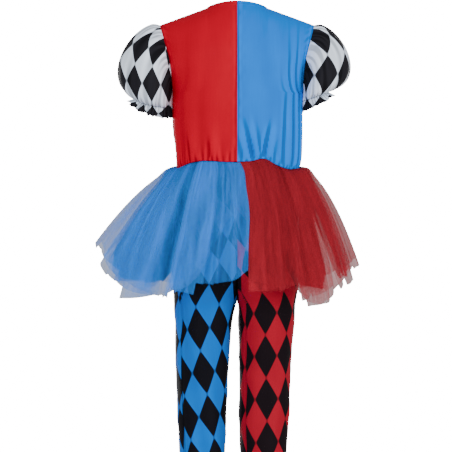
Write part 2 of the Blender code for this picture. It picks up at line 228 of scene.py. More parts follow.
@dataclass
class Seam:
    """A line of sewing on a cloth: its points, the cloth's normals at them, and the sizes of its stitches."""

    points: Array
    normals: Array
    pitch: float = 2.7
    length: float = 1.9
    radius: float = 0.26
    sides: int = 6

    def stitches(self) -> tuple[Array, Array]:
        """Small capsules end to end along the line, arched a little out of the cloth.

        Returns:
            The points and the quads.
        """
        run = np.concatenate([[0.0], np.cumsum(np.linalg.norm(np.diff(self.points, axis=0), axis=1))])
        places = np.arange(self.pitch / 2, run[-1] - self.pitch / 2, self.pitch)
        middle, ahead, normal = (
            np.stack([np.interp(places + shift, run, part) for part in values.T], axis=-1)
            for values, shift in ((self.points, 0.0), (self.points, 0.5), (self.normals, 0.0))
        )
        along, normal = unit(ahead - middle), unit(normal)
        beside = np.cross(along, normal)
        share = np.array([-0.5, -0.4, 0.0, 0.4, 0.5])[:, None, None]
        girth = self.radius * np.array([0.3, 1.0, 1.0, 1.0, 0.3])[:, None, None]
        turn = np.linspace(0, 2 * math.pi, self.sides, endpoint=False)[:, None]
        rise = self.radius * (1.6 - 4.0 * share**2) + girth * np.cos(turn)
        points = middle[:, None, None] + along[:, None, None] * share * self.length
        points = points + normal[:, None, None] * rise + beside[:, None, None] * girth * np.sin(turn)
        ring = np.arange(len(share) * self.sides).reshape(len(share), self.sides)
        after = np.roll(ring, -1, axis=1)
        quads = np.stack([ring[:-1], after[:-1], after[1:], ring[1:]], axis=-1).reshape(-1, 4)
        return points, (quads + np.arange(len(places))[:, None, None] * ring.size).reshape(-1, 4)


@dataclass
class Surface:
    """A grid of points in rows and columns, with each point's place on the flat cloth.

    A ring's first and last columns are neighbours, and its flat places have one column more, for its
    closing seam. Its painted shade values are 1 in the bottom of a sharp trough, 0 on plain cloth and below 0
    on a ridge, where they paint a highlight.
    """

    points: Array
    flat: Array | None = None
    ring: bool = False
    painted_shade: Array | None = None

    def __post_init__(self) -> None:
        """Starts with the flat places at zero where none are given."""
        self.flat = np.zeros((*self.points.shape[:2], 2)) if self.flat is None else self.flat

    def normals(self) -> Array:
        """Unit normals on the convex side: the cross product of the grid's two central differences."""
        points = self.points
        padded = np.concatenate([points[:, -1:], points, points[:, :1]], axis=1) if self.ring else points
        normals = np.cross(np.gradient(padded, axis=1), np.gradient(padded, axis=0))
        normals = unit(normals[:, 1:-1] if self.ring else normals)
        bulges_out = np.sum(normals * (points - points.mean(axis=(0, 1)))) > 0
        return normals if bulges_out else -normals

    def raised(self, height: Array) -> Surface:
        """The same cloth with each point moved out along its normal by a height, and painted shade from its
        bends.
        """
        return replace(self, points=self.points + self.normals() * height[..., None]).with_painted_shade(height)

    def with_painted_shade(self, height: Array, sharp: float = 0.07) -> Surface:
        """The same cloth with its painted shade values, from how sharply a height bends upwards across the
        columns.

        Args:
            height: how far each point stands out.
            sharp: the second difference per squared millimetre at which a trough counts as 1.

        Returns:
            The cloth with its painted shade values, from -0.5 for a painted highlight to 1 for full painted
            shade.
        """
        padded = np.pad(height, ((0, 0), (2, 2)), mode="wrap" if self.ring else "edge")
        bend = padded[:, 4:] + padded[:, :-4] - 2 * padded[:, 2:-2]
        step = np.linalg.norm(np.diff(self.points, axis=1), axis=2).mean(axis=1)[:, None]
        return replace(self, painted_shade=np.clip(bend / (2 * step) ** 2 / sharp, -0.5, 1.0))

    def lengths(self, axis: int) -> Array:
        """How far each point lies from the first row (axis 0) or first column (axis 1), along the cloth."""
        steps = np.linalg.norm(np.diff(self.points, axis=axis), axis=2)
        return np.pad(np.cumsum(steps, axis=axis), ((1, 0), (0, 0)) if axis == 0 else ((0, 0), (1, 0)))

    def near_end(self, distance: float) -> Seam:
        """A line of sewing at a distance from the grid's last row, measured along each column."""
        from_end = self.lengths(0)[-1:] - self.lengths(0)
        both = np.concatenate([self.points, self.normals()], axis=2)[::-1]
        line = np.array(
            [
                [np.interp(distance, from_end[::-1, column], part) for part in both[:, column].T]
                for column in range(both.shape[1])
            ]
        )
        return Seam(line[:, :3], line[:, 3:])

    def keep_on(self, side: Side, face: Face) -> None:
        """Moves stray points back to the panel's own side of the seam planes x = 0 and y = 0."""
        for axis, sign in enumerate((side.sign, face.facing)):
            self.points[..., axis] = sign * np.maximum(sign * self.points[..., axis], 0.0)

    def faces(self) -> tuple[Array, Array]:
        """The quads of the grid, wound so that they face out on its convex side.

        Returns:
            Each quad's four points, and its four places in the grid of flat coordinates.
        """
        rows, columns = self.points.shape[:2]
        index = np.arange(rows * columns).reshape(rows, columns)
        if self.ring:
            index = np.concatenate([index, index[:, :1]], axis=1)
        quads, corners = (
            np.stack([g[:-1, :-1], g[:-1, 1:], g[1:, 1:], g[1:, :-1]], axis=-1).reshape(-1, 4)
            for g in (index, np.arange(index.size).reshape(index.shape))
        )
        across, along = self.points[0, 1] - self.points[0, 0], self.points[1, 0] - self.points[0, 0]
        if np.dot(np.cross(across, along), self.normals()[0, 0]) < 0:
            quads, corners = quads[:, ::-1], corners[:, ::-1]
        return quads, corners

    def make(self, name: str, material: Material, thickness: float) -> Piece:
        """Makes the object: the grid as smooth quads, given its thickness inwards by a Solidify modifier.

        Args:
            name: the object's name.
            material: the cloth's material.
            thickness: the cloth's thickness in millimetres.

        Returns:
            The new object.
        """
        quads, corners = self.faces()
        piece = new_piece(name, self.points, quads, material)
        uv = piece.data.uv_layers.new(name="cloth")
        uv.data.foreach_set("uv", (self.flat.reshape(-1, 2)[corners.ravel()] * MM).astype(np.float32).ravel())
        # Painted shade from the crease curvature, for the satin's colour: darker in troughs, lighter on
        # ridges.
        painted_shade = piece.data.attributes.new("painted_shade", "FLOAT", "POINT")
        painted_shade.data.foreach_set("value", self.painted_shade.astype(np.float32).ravel())
        wall = piece.modifiers.new("thickness", "SOLIDIFY")
        wall.thickness, wall.offset, wall.use_quality_normals = thickness * MM, -1.0, True
        return piece


def sew(name: str, seams: Sequence[Seam], material: Material) -> Piece:
    """Makes one object of the stitches along some seams, riding on the costume.

    Args:
        name: the object's name.
        seams: the lines of sewing.
        material: the thread's material.

    Returns:
        The new object.
    """
    points, quads = zip(*(seam.stitches() for seam in seams))
    points = [part.reshape(-1, 3) for part in points]
    starts = np.cumsum([0] + [len(part) for part in points])
    quads = np.concatenate([part + start for part, start in zip(quads, starts)])
    piece = new_piece(name, np.concatenate(points), quads, material)
    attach(piece, "root")
    return piece


def declare(
    piece: Piece,
    node: str,
) -> None:
    """Rides the piece on the body, hides the solid that it stands for, and reads the flat coordinates from
    its UV map.

    The flat coordinates are metres.

    Args:
        piece: the cloth piece.
        node: the solid that it stands for, or nothing where it has none of its own.
    """
    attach(piece, "root")
    if node:
        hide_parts(node)
    flat = np.empty(len(piece.data.loops) * 2, np.float32)
    piece.data.uv_layers["cloth"].data.foreach_get("uv", flat)


class NodeSheet:
    """A node tree with short calls for adding and joining its nodes."""

    def __init__(self, tree: Tree) -> None:
        """Keeps the tree that the calls add to."""
        self.tree = tree

    def fill(self, node: Node, inputs: dict[Any, Any]) -> Node:
        """Joins or sets a node's inputs.

        Args:
            node: the node.
            inputs: a value or another node's output for each named or numbered input.

        Returns:
            The node.
        """
        for key, value in inputs.items():
            if isinstance(value, Socket):
                self.tree.links.new(value, node.inputs[key])
            else:
                node.inputs[key].default_value = value
        return node

    def add(self, kind: str, inputs: dict[Any, Any] | None = None, **settings: Any) -> Node:
        """Adds a node.

        Args:
            kind: Blender's name for the node's type, without ShaderNode before it.
            inputs: what fills its inputs.
            settings: the node's own settings.

        Returns:
            The new node.
        """
        node = self.tree.nodes.new(kind if kind.startswith("NodeGroup") else f"ShaderNode{kind}")
        for key, value in settings.items():
            setattr(node, key, value)
        return self.fill(node, inputs or {})

    def maths(self, operation: str, *values: Any, clamp: bool = False) -> Socket:
        """Adds a Math node on some values or outputs, and returns its output."""
        return self.add("Math", dict(enumerate(values)), operation=operation, use_clamp=clamp).outputs[0]

    def mix(self, share: Any, first: Any, second: Any) -> Socket:
        """Adds a colour Mix node, and returns its colour."""
        return self.add("Mix", {0: share, 6: first, 7: second}, data_type="RGBA").outputs[2]

    def noise(self, place: Socket, stretch: tuple[float, float], detail: float) -> Socket:
        """Adds flat noise on coordinates that are first multiplied by the stretch, and returns its value."""
        scaled = self.add("Mapping", {"Vector": place, "Scale": (*stretch, 1.0)}).outputs[0]
        inputs = {"Vector": scaled, "Scale": 1.0, "Detail": detail}
        return self.add("TexNoise", inputs, noise_dimensions="2D").outputs[0]


def new_group(name: str, inputs: dict[str, str], outputs: dict[str, str]) -> tuple[NodeSheet, Any, Any]:
    """Starts a shader node group.

    Args:
        name: the group's name.
        inputs: a socket type for each named input.
        outputs: a socket type for each named output.

    Returns:
        The group's tree with short calls, its input node's outputs and its output node.
    """
    tree = bpy.data.node_groups.new(name, "ShaderNodeTree")
    for ways, sockets in (("INPUT", inputs), ("OUTPUT", outputs)):
        for socket, kind in sockets.items():
            tree.interface.new_socket(socket, in_out=ways, socket_type=f"NodeSocket{kind}")
    sheet = NodeSheet(tree)
    return sheet, sheet.add("NodeGroupInput").outputs, sheet.add("NodeGroupOutput")


def lozenge_group() -> Tree:
    """Upright lozenges that meet at their points: 1 in every other one, 0 between.

    With a = u / width + v / height and b = u / width - v / height, each lozenge is a square of a and b, and
    the mask is one half more than a steep multiple of sin(pi a) sin(pi b), held between 0 and 1.
    """
    inputs = {"Cloth": "Vector", "Width": "Float", "Height": "Float", "Sharpness": "Float"}
    sheet, given_in, out = new_group("lozenges", inputs, {"Mask": "Float"})
    parts = sheet.add("SeparateXYZ", {0: given_in["Cloth"]}).outputs
    across = sheet.maths("DIVIDE", parts[0], given_in["Width"])
    along = sheet.maths("DIVIDE", parts[1], given_in["Height"])
    waves = [
        sheet.maths("SINE", sheet.maths("MULTIPLY", sheet.maths(operation, across, along), math.pi))
        for operation in ("ADD", "SUBTRACT")
    ]
    both = sheet.maths("MULTIPLY", sheet.maths("MULTIPLY", *waves), given_in["Sharpness"])
    sheet.fill(out, {"Mask": sheet.maths("ADD", both, 0.5, clamp=True)})
    return sheet.tree


def weave_group() -> Tree:
    """Satin threads: fine streaks along the warp and broad soft changes of tone, with a height for the bump.

    The streaks are noise on cloth coordinates pulled long along v. The tone is slow noise, and both scale
    the colour.
    """
    inputs = {"Cloth": "Vector", "Colour": "Color", "Streaks": "Float", "Tone": "Float"}
    outputs = {"Colour": "Color", "Roughness": "Float", "Height": "Float"}
    sheet, given_in, out = new_group("satin weave", inputs, outputs)
    place, colour = given_in["Cloth"], given_in["Colour"]
    fine = sheet.noise(place, (2400.0, 420.0), 2.0)
    long = sheet.noise(place, (420.0, 26.0), 3.0)
    slow = sheet.noise(place, (24.0, 24.0), 2.0)
    streak = sheet.maths("SUBTRACT", sheet.maths("ADD", fine, long), 1.0)
    light = sheet.maths("MULTIPLY", streak, given_in["Streaks"])
    tone = sheet.maths("MULTIPLY", sheet.maths("SUBTRACT", slow, 0.5), given_in["Tone"])
    share = sheet.maths("ADD", sheet.maths("ADD", light, tone), 0.5, clamp=True)
    dark = sheet.mix(0.30, colour, (0.0, 0.0, 0.0, 1.0))
    bright = sheet.add("VectorMath", {0: colour, 1: (1.3, 1.3, 1.3)}, operation="MULTIPLY").outputs[0]
    rough = sheet.maths("MULTIPLY_ADD", streak, 0.12, 0.46)
    sheet.fill(out, {"Colour": sheet.mix(share, dark, bright), "Roughness": rough, "Height": streak})
    return sheet.tree


def net_group() -> Tree:
    """A fine hexagon net: three cosines at 120 degrees to each other, low on the threads, high in the holes.

    The thread mask is a steep multiple of their sum below a level, held between 0 and 1.
    """
    sheet, given_in, out = new_group("tulle net", {"Cloth": "Vector", "Cell": "Float"}, {"Thread": "Float"})
    parts = sheet.add("SeparateXYZ", {0: given_in["Cloth"]}).outputs
    total: Any = 0.0
    for turn in np.radians((0, 120, 240)):
        along = sheet.maths("MULTIPLY", parts[0], math.cos(turn))
        up = sheet.maths("MULTIPLY", parts[1], math.sin(turn))
        phase = sheet.maths("DIVIDE", sheet.maths("ADD", along, up), given_in["Cell"])
        wave = sheet.maths("COSINE", sheet.maths("MULTIPLY", phase, 2 * math.pi))
        total = sheet.maths("ADD", total, wave)
    level = sheet.maths("SUBTRACT", -0.1, total)
    sheet.fill(out, {"Thread": sheet.maths("MULTIPLY", level, 1.6, clamp=True)})
    return sheet.tree


@dataclass(frozen=True)
class Groups:
    """The shader node groups that the cloths share."""

    lozenges: Tree
    weave: Tree
    net: Tree

    @classmethod
    def build(cls) -> Groups:
        """Builds each group once."""
        return cls(lozenge_group(), weave_group(), net_group())


def start_material(name: str) -> tuple[Material, NodeSheet, Node]:
    """Starts a material.

    Args:
        name: the material's name.

    Returns:
        The material, its tree with short calls, and its Principled shader.
    """
    material = bpy.data.materials.new(name)
    material.use_nodes = True
    return material, NodeSheet(material.node_tree), material.node_tree.nodes["Principled BSDF"]


def mottled(name: str, low: Sequence[float], high: Sequence[float], scale: float, rough: float) -> Material:
    """A plain material with a grain: noise on Object coordinates mixes two colours.

    Args:
        name: the material's name.
        low: the darker colour.
        high: the lighter colour.
        scale: the noise's scale.
        rough: the surface's roughness.

    Returns:
        The new material.
    """
    material, sheet, shader = start_material(name)
    place = sheet.add("TexCoord").outputs["Object"]
    grain = sheet.add("TexNoise", {"Vector": place, "Scale": scale}).outputs[0]
    sheet.fill(shader, {"Base Color": sheet.mix(grain, low, high), "Roughness": rough})
    return material


@dataclass(frozen=True)
class Satin:
    """A satin cloth, plain or printed with lozenges of a second colour."""

    name: str
    colour: Colour
    second: Colour | None = None
    lozenge: tuple[float, float] = (33.2, 61.0)
    sharpness: float = 22.0
    streaks: float = 0.14
    tone: float = 0.22
    gloss: float = 0.015
    bump: float = 0.08
    # shadow: how strongly the painted shade darkens troughs and the painted highlight lightens ridges.
    shadow: float = 0.36

    def material(self, groups: Groups) -> Material:
        """Builds the material: lozenges or one colour, then the weave's tone, roughness and bump, and painted
        shade in troughs and painted highlight on ridges.

        Args:
            groups: the shared node groups.

        Returns:
            The new material.
        """
        material, sheet, shader = start_material(self.name)
        place = sheet.add("UVMap", uv_map="cloth").outputs[0]
        colour: Any = tinted(self.colour)
        if self.second is not None:
            width, height = (size * MM for size in self.lozenge)
            inputs = {"Cloth": place, "Width": width, "Height": height, "Sharpness": self.sharpness}
            mask = sheet.add("Group", inputs, node_tree=groups.lozenges, label="lozenges").outputs[0]
            colour = sheet.mix(mask, colour, tinted(self.second))
        inputs = {"Cloth": place, "Colour": colour, "Streaks": self.streaks, "Tone": self.tone}
        weave = sheet.add("Group", inputs, node_tree=groups.weave, label="satin weave").outputs
        bump = sheet.add("Bump", {"Strength": self.bump, "Distance": 0.0003, "Height": weave["Height"]})
        # Painted shade: the colour is darkened in the cloth's troughs and lightened on its ridges, from the
        # curvature attribute.
        painted_shade = sheet.add("Attribute", attribute_name="painted_shade").outputs["Fac"]
        light = sheet.maths("SUBTRACT", 1.0, sheet.maths("MULTIPLY", painted_shade, self.shadow))
        shaded = sheet.add("VectorMath", {0: weave["Colour"], 1: light}, operation="MULTIPLY")
        looks = {"Base Color": shaded.outputs[0], "Roughness": weave["Roughness"], "Normal": bump.outputs[0]}
        sheet.fill(shader, {**looks, "Specular IOR Level": self.gloss})
        return material


@dataclass(frozen=True)
class Tulle:
    """A soft see-through net: film and thread are its alphas between and on its threads."""

    name: str
    colour: Colour
    film: float
    thread: float
    banding: float = 0.25
    cell: float = 1.5
    gore: float = 34.0
    gore_alpha: float = 0.12
    gore_tone: float = 0.5
    roughness: float = 0.7
    gloss: float = 0.05

    def material(self, groups: Groups) -> Material:
        """Builds the material: alpha from film to thread by the net's mask, denser in streaks and bands.

        Each gore's width of cloth also has a density and a tone of its own, so that straight edges show
        between them.

        Args:
            groups: the shared node groups.

        Returns:
            The new material.
        """
        material, sheet, shader = start_material(self.name)
        place = sheet.add("UVMap", uv_map="cloth").outputs[0]
        inputs = {"Cloth": place, "Cell": self.cell * MM}
        net = sheet.add("Group", inputs, node_tree=groups.net, label="tulle net").outputs[0]
        streak = sheet.noise(place, (150.0, 16.0), 3.0)
        band = sheet.noise(place, (34.0, 3.0), 1.0)
        shade = sheet.maths("MULTIPLY", net, self.thread - self.film)
        both = sheet.maths("MULTIPLY_ADD", band, 1.6, streak)
        across = sheet.maths("DIVIDE", sheet.add("SeparateXYZ", {0: place}).outputs[0], self.gore * MM)
        gore = sheet.maths("FLOOR", sheet.maths("MULTIPLY_ADD", band, 0.8, across))
        panel = sheet.add("TexWhiteNoise", {"W": gore}, noise_dimensions="1D").outputs["Value"]
        own = sheet.maths("SUBTRACT", panel, 0.5)
        slow = sheet.maths("MULTIPLY", sheet.maths("SUBTRACT", both, 1.3), self.banding)
        dense = sheet.maths("MULTIPLY_ADD", own, self.gore_alpha, slow)
        alpha = sheet.maths("ADD", sheet.maths("ADD", shade, dense), self.film, clamp=True)
        tone = sheet.maths("MULTIPLY_ADD", own, self.gore_tone, streak, clamp=True)
        colour = sheet.mix(tone, tinted(self.colour, 0.78), tinted(self.colour, 1.18))
        looks = {"Base Color": colour, "Alpha": alpha, "Roughness": self.roughness}
        sheet.fill(shader, {**looks, "Specular IOR Level": self.gloss})
        return material


@dataclass(frozen=True)
class Thread:
    """Sewing thread."""

    name: str
    colour: Colour

    def material(self) -> Material:
        """Builds the material: a dull fine grain along each stitch."""
        return mottled(self.name, tinted(self.colour, 0.7), tinted(self.colour, 1.2), 2500.0, 0.6)


@dataclass(frozen=True)
class Fold:
    """A soft ridge (depth above 0) or trough (below 0) that runs up from the waist.

    Angles and widths are degrees round the waist from the middle of the back. middle and reach say where on
    the way up it is deepest and how far from there it fades, in millimetres.
    """

    angle: float
    width: float
    middle: float
    reach: float
    depth: float
    lean: float = 0.0

    def height(self, angle: Array, rise: Array) -> Array:
        """A bell across the fold times a bell along it, the first shifted sideways as the fold leans."""
        across = (angle - self.angle - self.lean * rise) / self.width
        return self.depth * bell(across) * bell((rise - self.middle) / self.reach)


@dataclass
class Bodice:
    """The four bodice panels, from the wavy lower edge to the neck and the shoulders."""

    neck_half_width: float = 42.0
    neck_depth: dict[Face, float] = given({Face.BACK: 34.0, Face.FRONT: 48.0})
    neck_height: dict[Face, float] = given({Face.BACK: 3.5, Face.FRONT: -36.0})
    neck_point_height: float = -3.0
    neck_share: float = 0.38
    shoulder_tip: float = 108.0
    shoulder_height: float = -27.0
    armhole_middle: float = -75.5
    armpit_height: float = -124.0
    armhole_depth: float = 29.0
    columns: int = 84
    lower_rows: int = 84
    upper_rows: int = 46
    thickness: float = 0.9
    hem: float = 7.0
    hem_rise: float = 0.45
    stitch_inset: float = 1.2
    area_share: float = 0.86
    seam_depth: float = 0.7
    gather_depth: float = 0.30
    slow_depth: dict[Side, float] = given({Side.LEFT: 0.2, Side.RIGHT: 0.35})
    form: Table = Table(
        "height left right back front",
        (-236, 84, 85.5, 58, 76),
        (-216, 85, 90, 59, 77),
        (-195, 86.8, 91, 61.5, 78),
        (-170, 90, 91.5, 64.5, 77.5),
        (-150, 90, 91.5, 67, 75.5),
        (-124, 90, 92, 68, 72),
        (-100, 91, 93, 68, 68),
        (-75.5, 94, 95.5, 66, 62),
    )
    edge: Table = Table(
        "angle left right",
        (0, -220, -220),
        (12, -220, -219),
        (24, -218.5, -215.6),
        (36, -218.5, -223),
        (52, -221.5, -229),
        (70, -227, -228.5),
        (90, -226, -226),
        (115, -221, -223),
        (140, -225, -220),
        (160, -221, -225),
        (180, -222, -222),
    )
    folds: dict[tuple[Side, Face], tuple[Fold, ...]] = given(
        {
            (Side.LEFT, Face.BACK): (
                Fold(20, 6, 8, 30, 1.8),
                Fold(27, 2.2, 8, 16, -1.2),
                Fold(33, 6, 34, 80, -0.45),
                Fold(44, 8, 10, 38, 2.1),
                Fold(51, 2.4, 10, 18, -1.3),
                Fold(58, 6, 40, 90, -0.6),
                Fold(72, 9, 12, 46, 2.2),
                Fold(80, 2.6, 24, 60, -1.3),
            ),
            (Side.RIGHT, Face.BACK): (
                Fold(9, 3, 12, 20, 2.6, -0.14),
                Fold(14, 2.0, 15, 24, -3.6, -0.14),
                Fold(18, 2.6, 16, 26, 2.8, -0.10),
                Fold(23, 2.0, 14, 22, -3.2, 0.12),
                Fold(28, 3.4, 12, 26, 2.8, 0.12),
                Fold(36, 6, 14, 50, 1.4),
                Fold(44, 2.4, 34, 56, -1.9, 0.03),
                Fold(52, 5, 20, 62, 1.7),
                Fold(59, 2.2, 46, 74, -2.4),
                Fold(65, 3.2, 46, 76, 2.2),
                Fold(71, 2.2, 52, 78, -2.6),
                Fold(78, 3.6, 40, 74, 1.9),
                Fold(84, 2.2, 46, 70, -1.7),
            ),
            (Side.LEFT, Face.FRONT): (
                Fold(110, 8, 10, 42, 2.1),
                Fold(128, 6, 22, 50, -1.1),
                Fold(146, 8, 10, 38, 2.3),
                Fold(164, 5, 18, 44, -0.9),
            ),
            (Side.RIGHT, Face.FRONT): (
                Fold(118, 8, 10, 40, 2.3),
                Fold(136, 6, 20, 54, -1.2),
                Fold(152, 7, 10, 44, 2.1),
                Fold(168, 5, 18, 40, -0.8),
            ),
        }
    )
    slots: dict[tuple[Side, Face], str] = given(
        {
            (Side.LEFT, Face.BACK): "red_satin",
            (Side.RIGHT, Face.BACK): "blue_satin",
            (Side.LEFT, Face.FRONT): "red_black_lozenge",
            (Side.RIGHT, Face.FRONT): "blue_black_lozenge",
        }
    )

    def waist_point(self, side: Side, face: Face, angle: Array, inset: float = 0.0) -> Sequence[Array]:
        """A point of the waist ring: its half-width times the sine, its depth times the rounded cosine.

        Args:
            side: the wearer's side.
            face: whose depth the section takes.
            angle: degrees from the middle of the back.
            inset: how far inside the bodice the ring lies.

        Returns:
            x on the side's own positive axis, y, and the height.
        """
        height, turn = self.edge.at(side.value, angle), np.radians(angle)
        half, depth = self.form.at(side.value, height) - inset, self.form.at(face.value, height) - inset
        return half * np.sin(turn), depth * rounded(np.cos(turn)), height

    def section(self, side: Side, face: Face, u: Array, height: Array) -> tuple[Array, Array]:
        """A level section from the middle (u = 0) to the side seam or the armhole's edge (u = 1).

        The turn grows evenly with u up to where the rounded section is as deep as the armhole's half
        ellipse.

        Args:
            side: the wearer's side.
            face: back or front.
            u: the share of the way round.
            height: the section's height.

        Returns:
            x on the side's own positive axis, and y before its sign.
        """
        depth, middle = self.form.at(face.value, height), self.armhole_middle
        below = np.clip((height - middle) / (middle - self.armpit_height), -1.0, 0.0)
        edge_turn = np.arccos((self.armhole_depth * np.sqrt(1 - below**2) / depth) ** (1 / SQUARE))
        turn = u * edge_turn
        x = self.form.at(side.value, height) / np.sin(edge_turn) * np.sin(turn)
        return x, depth * rounded(np.cos(turn))

    def smooth(self, side: Side, face: Face) -> tuple[Surface, Array, Array]:
        """The panel's plain form, as the solid has it.

        Below the middle of the armhole it follows the level sections. Above it, each line goes to its place
        on the neck edge or the shoulder seam by the sine of an even step, falling in by a power of the
        cosine.

        Args:
            side: the wearer's side.
            face: back or front.

        Returns:
            The grid, the angle of each column at the waist, and each point's rise above the waist.
        """
        u = np.linspace(0, 1, self.columns + 1)
        angle = 90 * u if face is Face.BACK else 180 - 90 * u
        low = self.edge.at(side.value, angle)
        height = low + np.linspace(0, 1, self.lower_rows + 1)[:, None] * (self.armhole_middle - low)
        x, y = self.section(side, face, u, height)
        neck = np.clip(u / self.neck_share, 0, 1) * math.pi / 2
        along_seam = np.clip((u - self.neck_share) / (1 - self.neck_share), 0, 1)
        neck_rise = self.neck_height[face] - self.neck_point_height
        top_x = self.neck_half_width * np.sin(neck) + (self.shoulder_tip - self.neck_half_width) * along_seam
        top_y = self.neck_depth[face] * np.cos(neck)
        top_height = self.neck_point_height + neck_rise * np.cos(neck) ** 2
        top_height = top_height + (self.shoulder_height - self.neck_point_height) * along_seam
        share = np.sin(np.linspace(0, 1, self.upper_rows + 1)[1:, None] * math.pi / 2)
        upper_y = top_y + (y[-1] - top_y) * (1 - share**2) ** (0.5 + 0.5 * np.cos(neck))
        x, y = np.concatenate([x, x[-1] + (top_x - x[-1]) * share]), np.concatenate([y, upper_y])
        height = np.concatenate([height, self.armhole_middle + (top_height - self.armhole_middle) * share])
        surface = Surface(np.stack([side.sign * x, face.facing * y, height], axis=-1))
        surface.flat[..., 0] = side.sign * face.facing * surface.lengths(1)
        surface.flat[..., 1] = low + surface.lengths(0)
        return surface, angle, height - low

    def relief(self, side: Side, face: Face, surface: Surface, angle: Array, rise: Array) -> Array:
        """How far each point stands out from the plain form.

        It is the sum of the named folds, the small gathers that fade upwards from the waist, a shallow
        valley with uneven puckers along each seam, and the doubled cloth of the neck hem. It is nothing on
        the edges that are sewn to another piece.

        Args:
            side: the wearer's side.
            face: back or front.
            surface: the plain form.
            angle: the angle of each column at the waist.
            rise: each point's rise above the waist.

        Returns:
            The heights in millimetres.
        """
        seed = 10 * (side is Side.LEFT) + (face is Face.BACK)
        from_middle, from_waist = surface.lengths(1), surface.lengths(0)
        to_side, from_top = from_middle[:, -1:] - from_middle, from_waist[-1:] - from_waist
        out = sum(fold.height(angle, rise) for fold in self.folds[(side, face)]) * step_up(rise, 0, 7)
        gather = gather_wave(angle * 1.15 + 3.0 * uneven(angle / 22, seed))
        gather *= 1 + 0.5 * uneven(angle / 9, seed + 1)
        out += self.gather_depth * gather * bell(rise / (11 + 5 * uneven(angle / 6, seed + 2)))
        slow = uneven(angle / 30 + 0.004 * rise, seed + 3) * step_up(rise, 20, 60) * step_up(from_top, 20, 70)
        out += self.slow_depth[side] * slow
        for distance, pitch, pucker in ((from_middle, 16.0, 0.10), (to_side, 9.0, 0.30)):
            out -= self.seam_depth * bell(distance / 1.5)
            out += pucker * uneven(rise / pitch, seed + 4) * bell((distance - 4.0) / 4.0)
        shoulder = step_up(from_middle / np.maximum(from_middle[:, -1:], 1), 0.36, 0.42)
        out -= self.seam_depth * bell(from_top / 1.6) * shoulder
        out += self.hem_rise * (1 - step_up(from_top, self.hem - 0.6, self.hem + 0.4)) * (1 - shoulder)
        return out * step_up(np.minimum(from_middle, to_side), -0.5, 1.5)

    def panel(self, side: Side, face: Face) -> Surface:
        """The finished panel, its seam edges brought back onto the seam planes x = 0 and y = 0.

        Args:
            side: the wearer's side.
            face: back or front.

        Returns:
            The panel's grid.
        """
        plain, angle, rise = self.smooth(side, face)
        surface = plain.raised(self.relief(side, face, plain, angle, rise))
        surface.points[:, 0, 0] = 0.0
        surface.points[:, -1] = plain.points[:, -1]
        seam = int(round(self.neck_share * self.columns))
        surface.points[-1, seam:] = plain.points[-1, seam:]
        surface.keep_on(side, face)
        return surface

    def build(self, cloth: dict[str, Material]) -> None:
        """Makes the four panels and the stitches of the neck hem.

        Args:
            cloth: the materials by name.
        """
        for (side, face), slot in self.slots.items():
            surface, name = self.panel(side, face), f"bodice_{face.value}_{side.value}"
            piece = surface.make(f"{name}_cloth", cloth[slot], self.thickness)
            hem = surface.near_end(self.hem - self.stitch_inset)
            neck = slice(1, int(self.neck_share * self.columns))
            thread = cloth["red_thread" if side is Side.LEFT else "blue_thread"]
            sewn = sew(f"{name}_neck_stitches", [Seam(hem.points[neck], hem.normals[neck])], thread)
            declare(piece, name)


@dataclass(frozen=True)
class SleeveForm:
    """One sleeve's own sizes: its cuff ring, how its line bulges and hangs, and how its print lies.

    tilt, pitch, flare and lean are degrees. across and along are weights of the terms that count half
    lozenges.
    """

    cuff_x: float
    cuff_height: float
    cuff_half_width: float
    cuff_half_depth: float
    tilt: float
    pitch: float
    head_reach: float
    head_lift: float
    bulge: float
    hang: float
    flare: float
    seed: int
    lean: float
    across: dict[str, float]
    along: dict[str, float]


